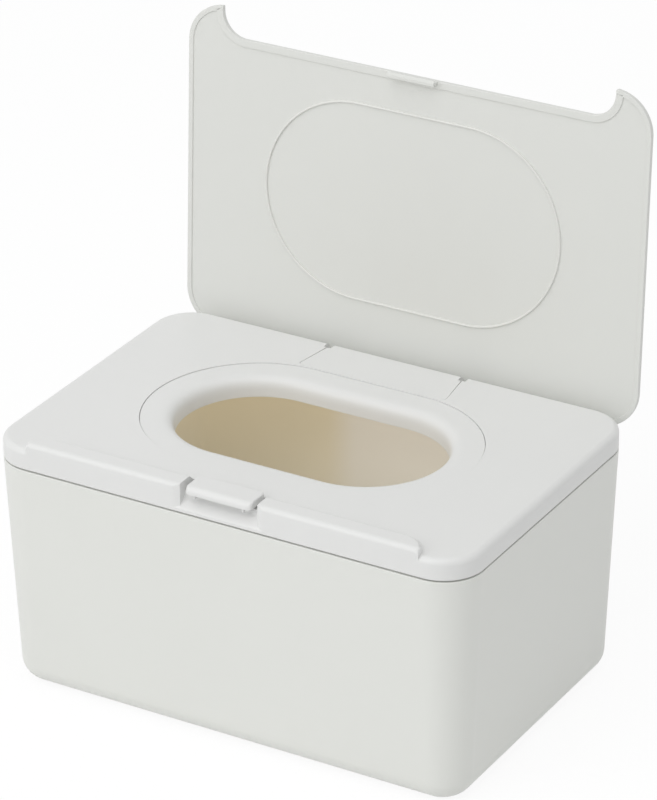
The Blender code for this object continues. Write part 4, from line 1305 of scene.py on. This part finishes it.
class DISPENSER_OT_button(bpy.types.Operator):
    """Build the push button with its leg, hook, pegs and prongs"""

    bl_idname = "dispenser.button"
    bl_label = "Latch button"

    def execute(self, context):
        settings = context.scene.dispenser
        body, deck, lid, button = settings.body, settings.deck, settings.lid, settings.button
        front = -body.depth / 2
        notch = front - lid.overhang + lid.notch_depth
        rear = notch - button.rear_gap
        top = body.parting + deck.rise + button.rise
        low = top - button.height

        def ring(inset, front_inset, z):
            near, far = front + front_inset, rear - inset
            plan = rounded_rectangle(button.half - inset, (far - near) / 2, max(button.corner - inset, WELD))
            return at_height([(x, y + (near + far) / 2) for x, y in plan], z)

        soft, wall = button.lip, button.wall
        rings = [ring(wall, wall, top - wall), ring(wall, wall, low + soft)]
        for t in quarter(SOFT_STEPS):
            inset = wall - soft * (1 - cos(t))
            rings.append(ring(inset, inset, low + soft * (1 - sin(t))))
        for t in quarter(SOFT_STEPS):
            inset = soft * (1 - sin(t))
            rings.append(ring(inset, inset, low + soft * (1 - cos(t))))
        for t in quarter(2 * FILLET_STEPS):
            drop = button.front_edge * (1 - sin(t))
            over = max(button.edge - drop, 0)
            inset = button.edge - sqrt(button.edge**2 - over**2)
            rings.append(ring(inset, button.front_edge * (1 - cos(t)), top - drop))
        cap = loft("button_cap", rings)

        leg_face = notch - lid.barb - body.gap
        leg_half = button.half - button.corner
        nose_low = body.parting + deck.rise + body.gap - lid.catch_length + lid.barb_height + body.gap
        nose_front = leg_face - 2 * body.gap
        leg = block(
            "leg",
            (-leg_half, leg_face - button.leg, PIVOT.z),
            (leg_half, leg_face, top - button.wall / 2),
        )
        nose = block(
            "nose",
            (-button.nose_half, nose_front, nose_low),
            (button.nose_half, notch - body.gap, nose_low + button.nose),
        )
        steps = [(leg, JOIN), (nose, JOIN)]
        root = leg_half - button.peg_root
        end = deck.bay_half + button.peg_reach
        for low_x, high_x in ((-end, -root), (root, end)):
            steps.append((rod("peg", button.peg, low_x, high_x, PIVOT), JOIN))
        prong_front = front + button.wall - body.gap
        half_width = button.prong_width / 2
        for side in (-button.prong, button.prong):
            prong = block(
                "prong",
                (side - half_width, prong_front, low - button.prong_drop),
                (side + half_width, prong_front + 2 * button.prong_width, top - button.wall / 2),
            )
            steps.append((soften(prong, half_width / 2), JOIN))
        carve(cap, steps)
        present(cap, "button", "latch_button", finish_of(settings, "deck_plastic"))
        return {"FINISHED"}


class DISPENSER_OT_button_coil(bpy.types.Operator):
    """Wind the button's return spring"""

    bl_idname = "dispenser.button_coil"
    bl_label = "Button spring"

    def execute(self, context):
        settings = context.scene.dispenser
        body, button, hinge = settings.body, settings.button, settings.hinge
        low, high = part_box("button_spring")
        material = finish_of(settings, "spring_steel")
        values = {
            "Radius": button.coil,
            "Turns": float(button.turns),
            "Length": high.z - low.z - 2 * hinge.wire,
            "Wire": hinge.wire,
            "Material": material,
        }
        coil = grow("button_coil", coil_tree(), values)
        place = Vector((0, button.coil_back - body.depth / 2, low.z + hinge.wire))
        coil.data.transform(Matrix.Translation(place))
        present(coil, "deck", "button_spring", material)
        return {"FINISHED"}


def seen_or_shining(tree):
    """One for rays that show the background: seen, mirrored or through glass."""
    path = add_node(tree, "ShaderNodeLightPath", (-900, 300))
    first = add_node(tree, "ShaderNodeMath", (-650, 300), operation="MAXIMUM")
    second = add_node(tree, "ShaderNodeMath", (-450, 300), operation="MAXIMUM")
    tree.links.new(path.outputs["Is Camera Ray"], first.inputs[0])
    tree.links.new(path.outputs["Is Glossy Ray"], first.inputs[1])
    tree.links.new(first.outputs[0], second.inputs[0])
    tree.links.new(path.outputs["Is Transmission Ray"], second.inputs[1])
    return second.outputs[0]


def build_world(studio):
    """White where it is seen, an even soft light elsewhere."""
    world = bpy.data.worlds.new("studio")
    world.use_nodes = True
    tree = world.node_tree
    tree.nodes.clear()
    light = add_node(tree, "ShaderNodeBackground", (-200, 100))
    light.inputs["Color"].default_value = (*studio.sky_tint, 1)
    light.inputs["Strength"].default_value = studio.sky
    white = add_node(tree, "ShaderNodeBackground", (-200, -100))
    white.inputs["Color"].default_value = (1, 1, 1, 1)
    both = add_node(tree, "ShaderNodeMixShader", (50, 0))
    leave = add_node(tree, "ShaderNodeOutputWorld", (250, 0))
    tree.links.new(seen_or_shining(tree), both.inputs[0])
    tree.links.new(light.outputs[0], both.inputs[1])
    tree.links.new(white.outputs[0], both.inputs[2])
    tree.links.new(both.outputs[0], leave.inputs["Surface"])
    bpy.context.scene.world = world


def build_floor(studio):
    """A pale floor that is white where it is seen and still takes a soft shadow."""
    mesh = bmesh.new()
    bmesh.ops.create_grid(mesh, x_segments=1, y_segments=1, size=studio.floor_size / 2)
    floor = new_piece(mesh, "studio_floor")
    material = bpy.data.materials.new("studio_floor")
    material.use_nodes = True
    tree = material.node_tree
    matte = tree.nodes["Principled BSDF"]
    matte.inputs["Base Color"].default_value = (*studio.floor_tint, 1)
    matte.inputs["Roughness"].default_value = studio.floor_roughness
    glow = add_node(tree, "ShaderNodeEmission", (-200, -300))
    glow.inputs["Strength"].default_value = studio.floor_glow
    weight = add_node(tree, "ShaderNodeMath", (-200, 300), operation="MULTIPLY")
    weight.inputs[1].default_value = studio.floor_blend
    both = add_node(tree, "ShaderNodeMixShader", (300, 0))
    leave = tree.nodes["Material Output"]
    tree.links.new(seen_or_shining(tree), weight.inputs[0])
    tree.links.new(weight.outputs[0], both.inputs[0])
    tree.links.new(matte.outputs[0], both.inputs[1])
    tree.links.new(glow.outputs[0], both.inputs[2])
    tree.links.new(both.outputs[0], leave.inputs["Surface"])
    floor.data.materials.append(material)


def add_lamp(name, place, aim, size, power):
    """A square soft box that looks at a point."""
    data = bpy.data.lights.new(name, "AREA")
    data.shape = "SQUARE"
    data.size = size
    data.energy = power
    lamp = bpy.data.objects.new(name, data)
    lamp.location = place
    lamp.rotation_euler = (Vector(aim) - Vector(place)).to_track_quat("-Z", "Y").to_euler()
    bpy.context.scene.collection.objects.link(lamp)


def build_camera(studio):
    """The camera at the photograph's angle."""
    azimuth, elevation = studio.azimuth, studio.elevation
    back = Vector((sin(azimuth) * cos(elevation), -cos(azimuth) * cos(elevation), sin(elevation)))
    right = (-back).cross(Vector((0, 0, 1))).normalized()
    up = right.cross(-back)
    turned_right = right * cos(studio.roll) + up * sin(studio.roll)
    turned_up = up * cos(studio.roll) - right * sin(studio.roll)
    data = bpy.data.cameras.new("camera")
    data.lens = studio.lens
    data.clip_end = studio.sight
    camera = bpy.data.objects.new("camera", data)
    place = Matrix((turned_right, turned_up, back)).transposed().to_4x4()
    place.translation = Vector(studio.target) + back * studio.distance
    camera.matrix_world = place
    bpy.context.scene.collection.objects.link(camera)
    bpy.context.scene.camera = camera


class DISPENSER_OT_stage(bpy.types.Operator):
    """Set up the floor, the light and the camera"""

    bl_idname = "dispenser.stage"
    bl_label = "Stage"

    def execute(self, context):
        studio = context.scene.dispenser.studio
        build_world(studio)
        build_floor(studio)
        build_camera(studio)
        add_lamp("key", studio.key_place, studio.aim, studio.key_size, studio.key_power)
        add_lamp("top", studio.top_place, studio.aim, studio.top_size, studio.top_power)
        context.scene.view_settings.view_transform = "Standard"
        return {"FINISHED"}


class DISPENSER_PT_panel(bpy.types.Panel):
    """Lists the pieces and the stage"""

    bl_idname = "DISPENSER_PT_panel"
    bl_label = "Wipes dispenser"
    bl_space_type = "VIEW_3D"
    bl_region_type = "UI"
    bl_category = "Dispenser"

    def draw(self, context):
        for operator in PIECES:
            self.layout.operator(operator.bl_idname)


PIECES = (
    DISPENSER_OT_stage,
    DISPENSER_OT_tub,
    DISPENSER_OT_deck,
    DISPENSER_OT_mouth,
    DISPENSER_OT_hinge_cover,
    DISPENSER_OT_hinge_metal,
    DISPENSER_OT_lid,
    DISPENSER_OT_seal,
    DISPENSER_OT_button,
    DISPENSER_OT_button_coil,
)
GROUPS = (
    BodySizes,
    DeckSizes,
    MouthSizes,
    LidSizes,
    HingeSizes,
    ButtonSizes,
    Finish,
    Studio,
    Dispenser,
)


def register():
    """Makes the sizes, the operators and the panel known."""
    for kind in (*GROUPS, *PIECES, DISPENSER_PT_panel):
        bpy.utils.register_class(kind)
    bpy.types.Scene.dispenser = PointerProperty(type=Dispenser)


def unregister():
    """Takes them back."""
    del bpy.types.Scene.dispenser
    for kind in reversed((*GROUPS, *PIECES, DISPENSER_PT_panel)):
        bpy.utils.unregister_class(kind)


def main():
    """Builds every piece and the stage."""
    for thing in list(bpy.data.objects):
        if thing.name in ("Cube", "Light", "Camera"):
            bpy.data.objects.remove(thing, do_unlink=True)
    register()
    for operator in PIECES:
        group, name = operator.bl_idname.split(".")
        getattr(getattr(bpy.ops, group), name)()


if __name__ == "__main__":
    main()
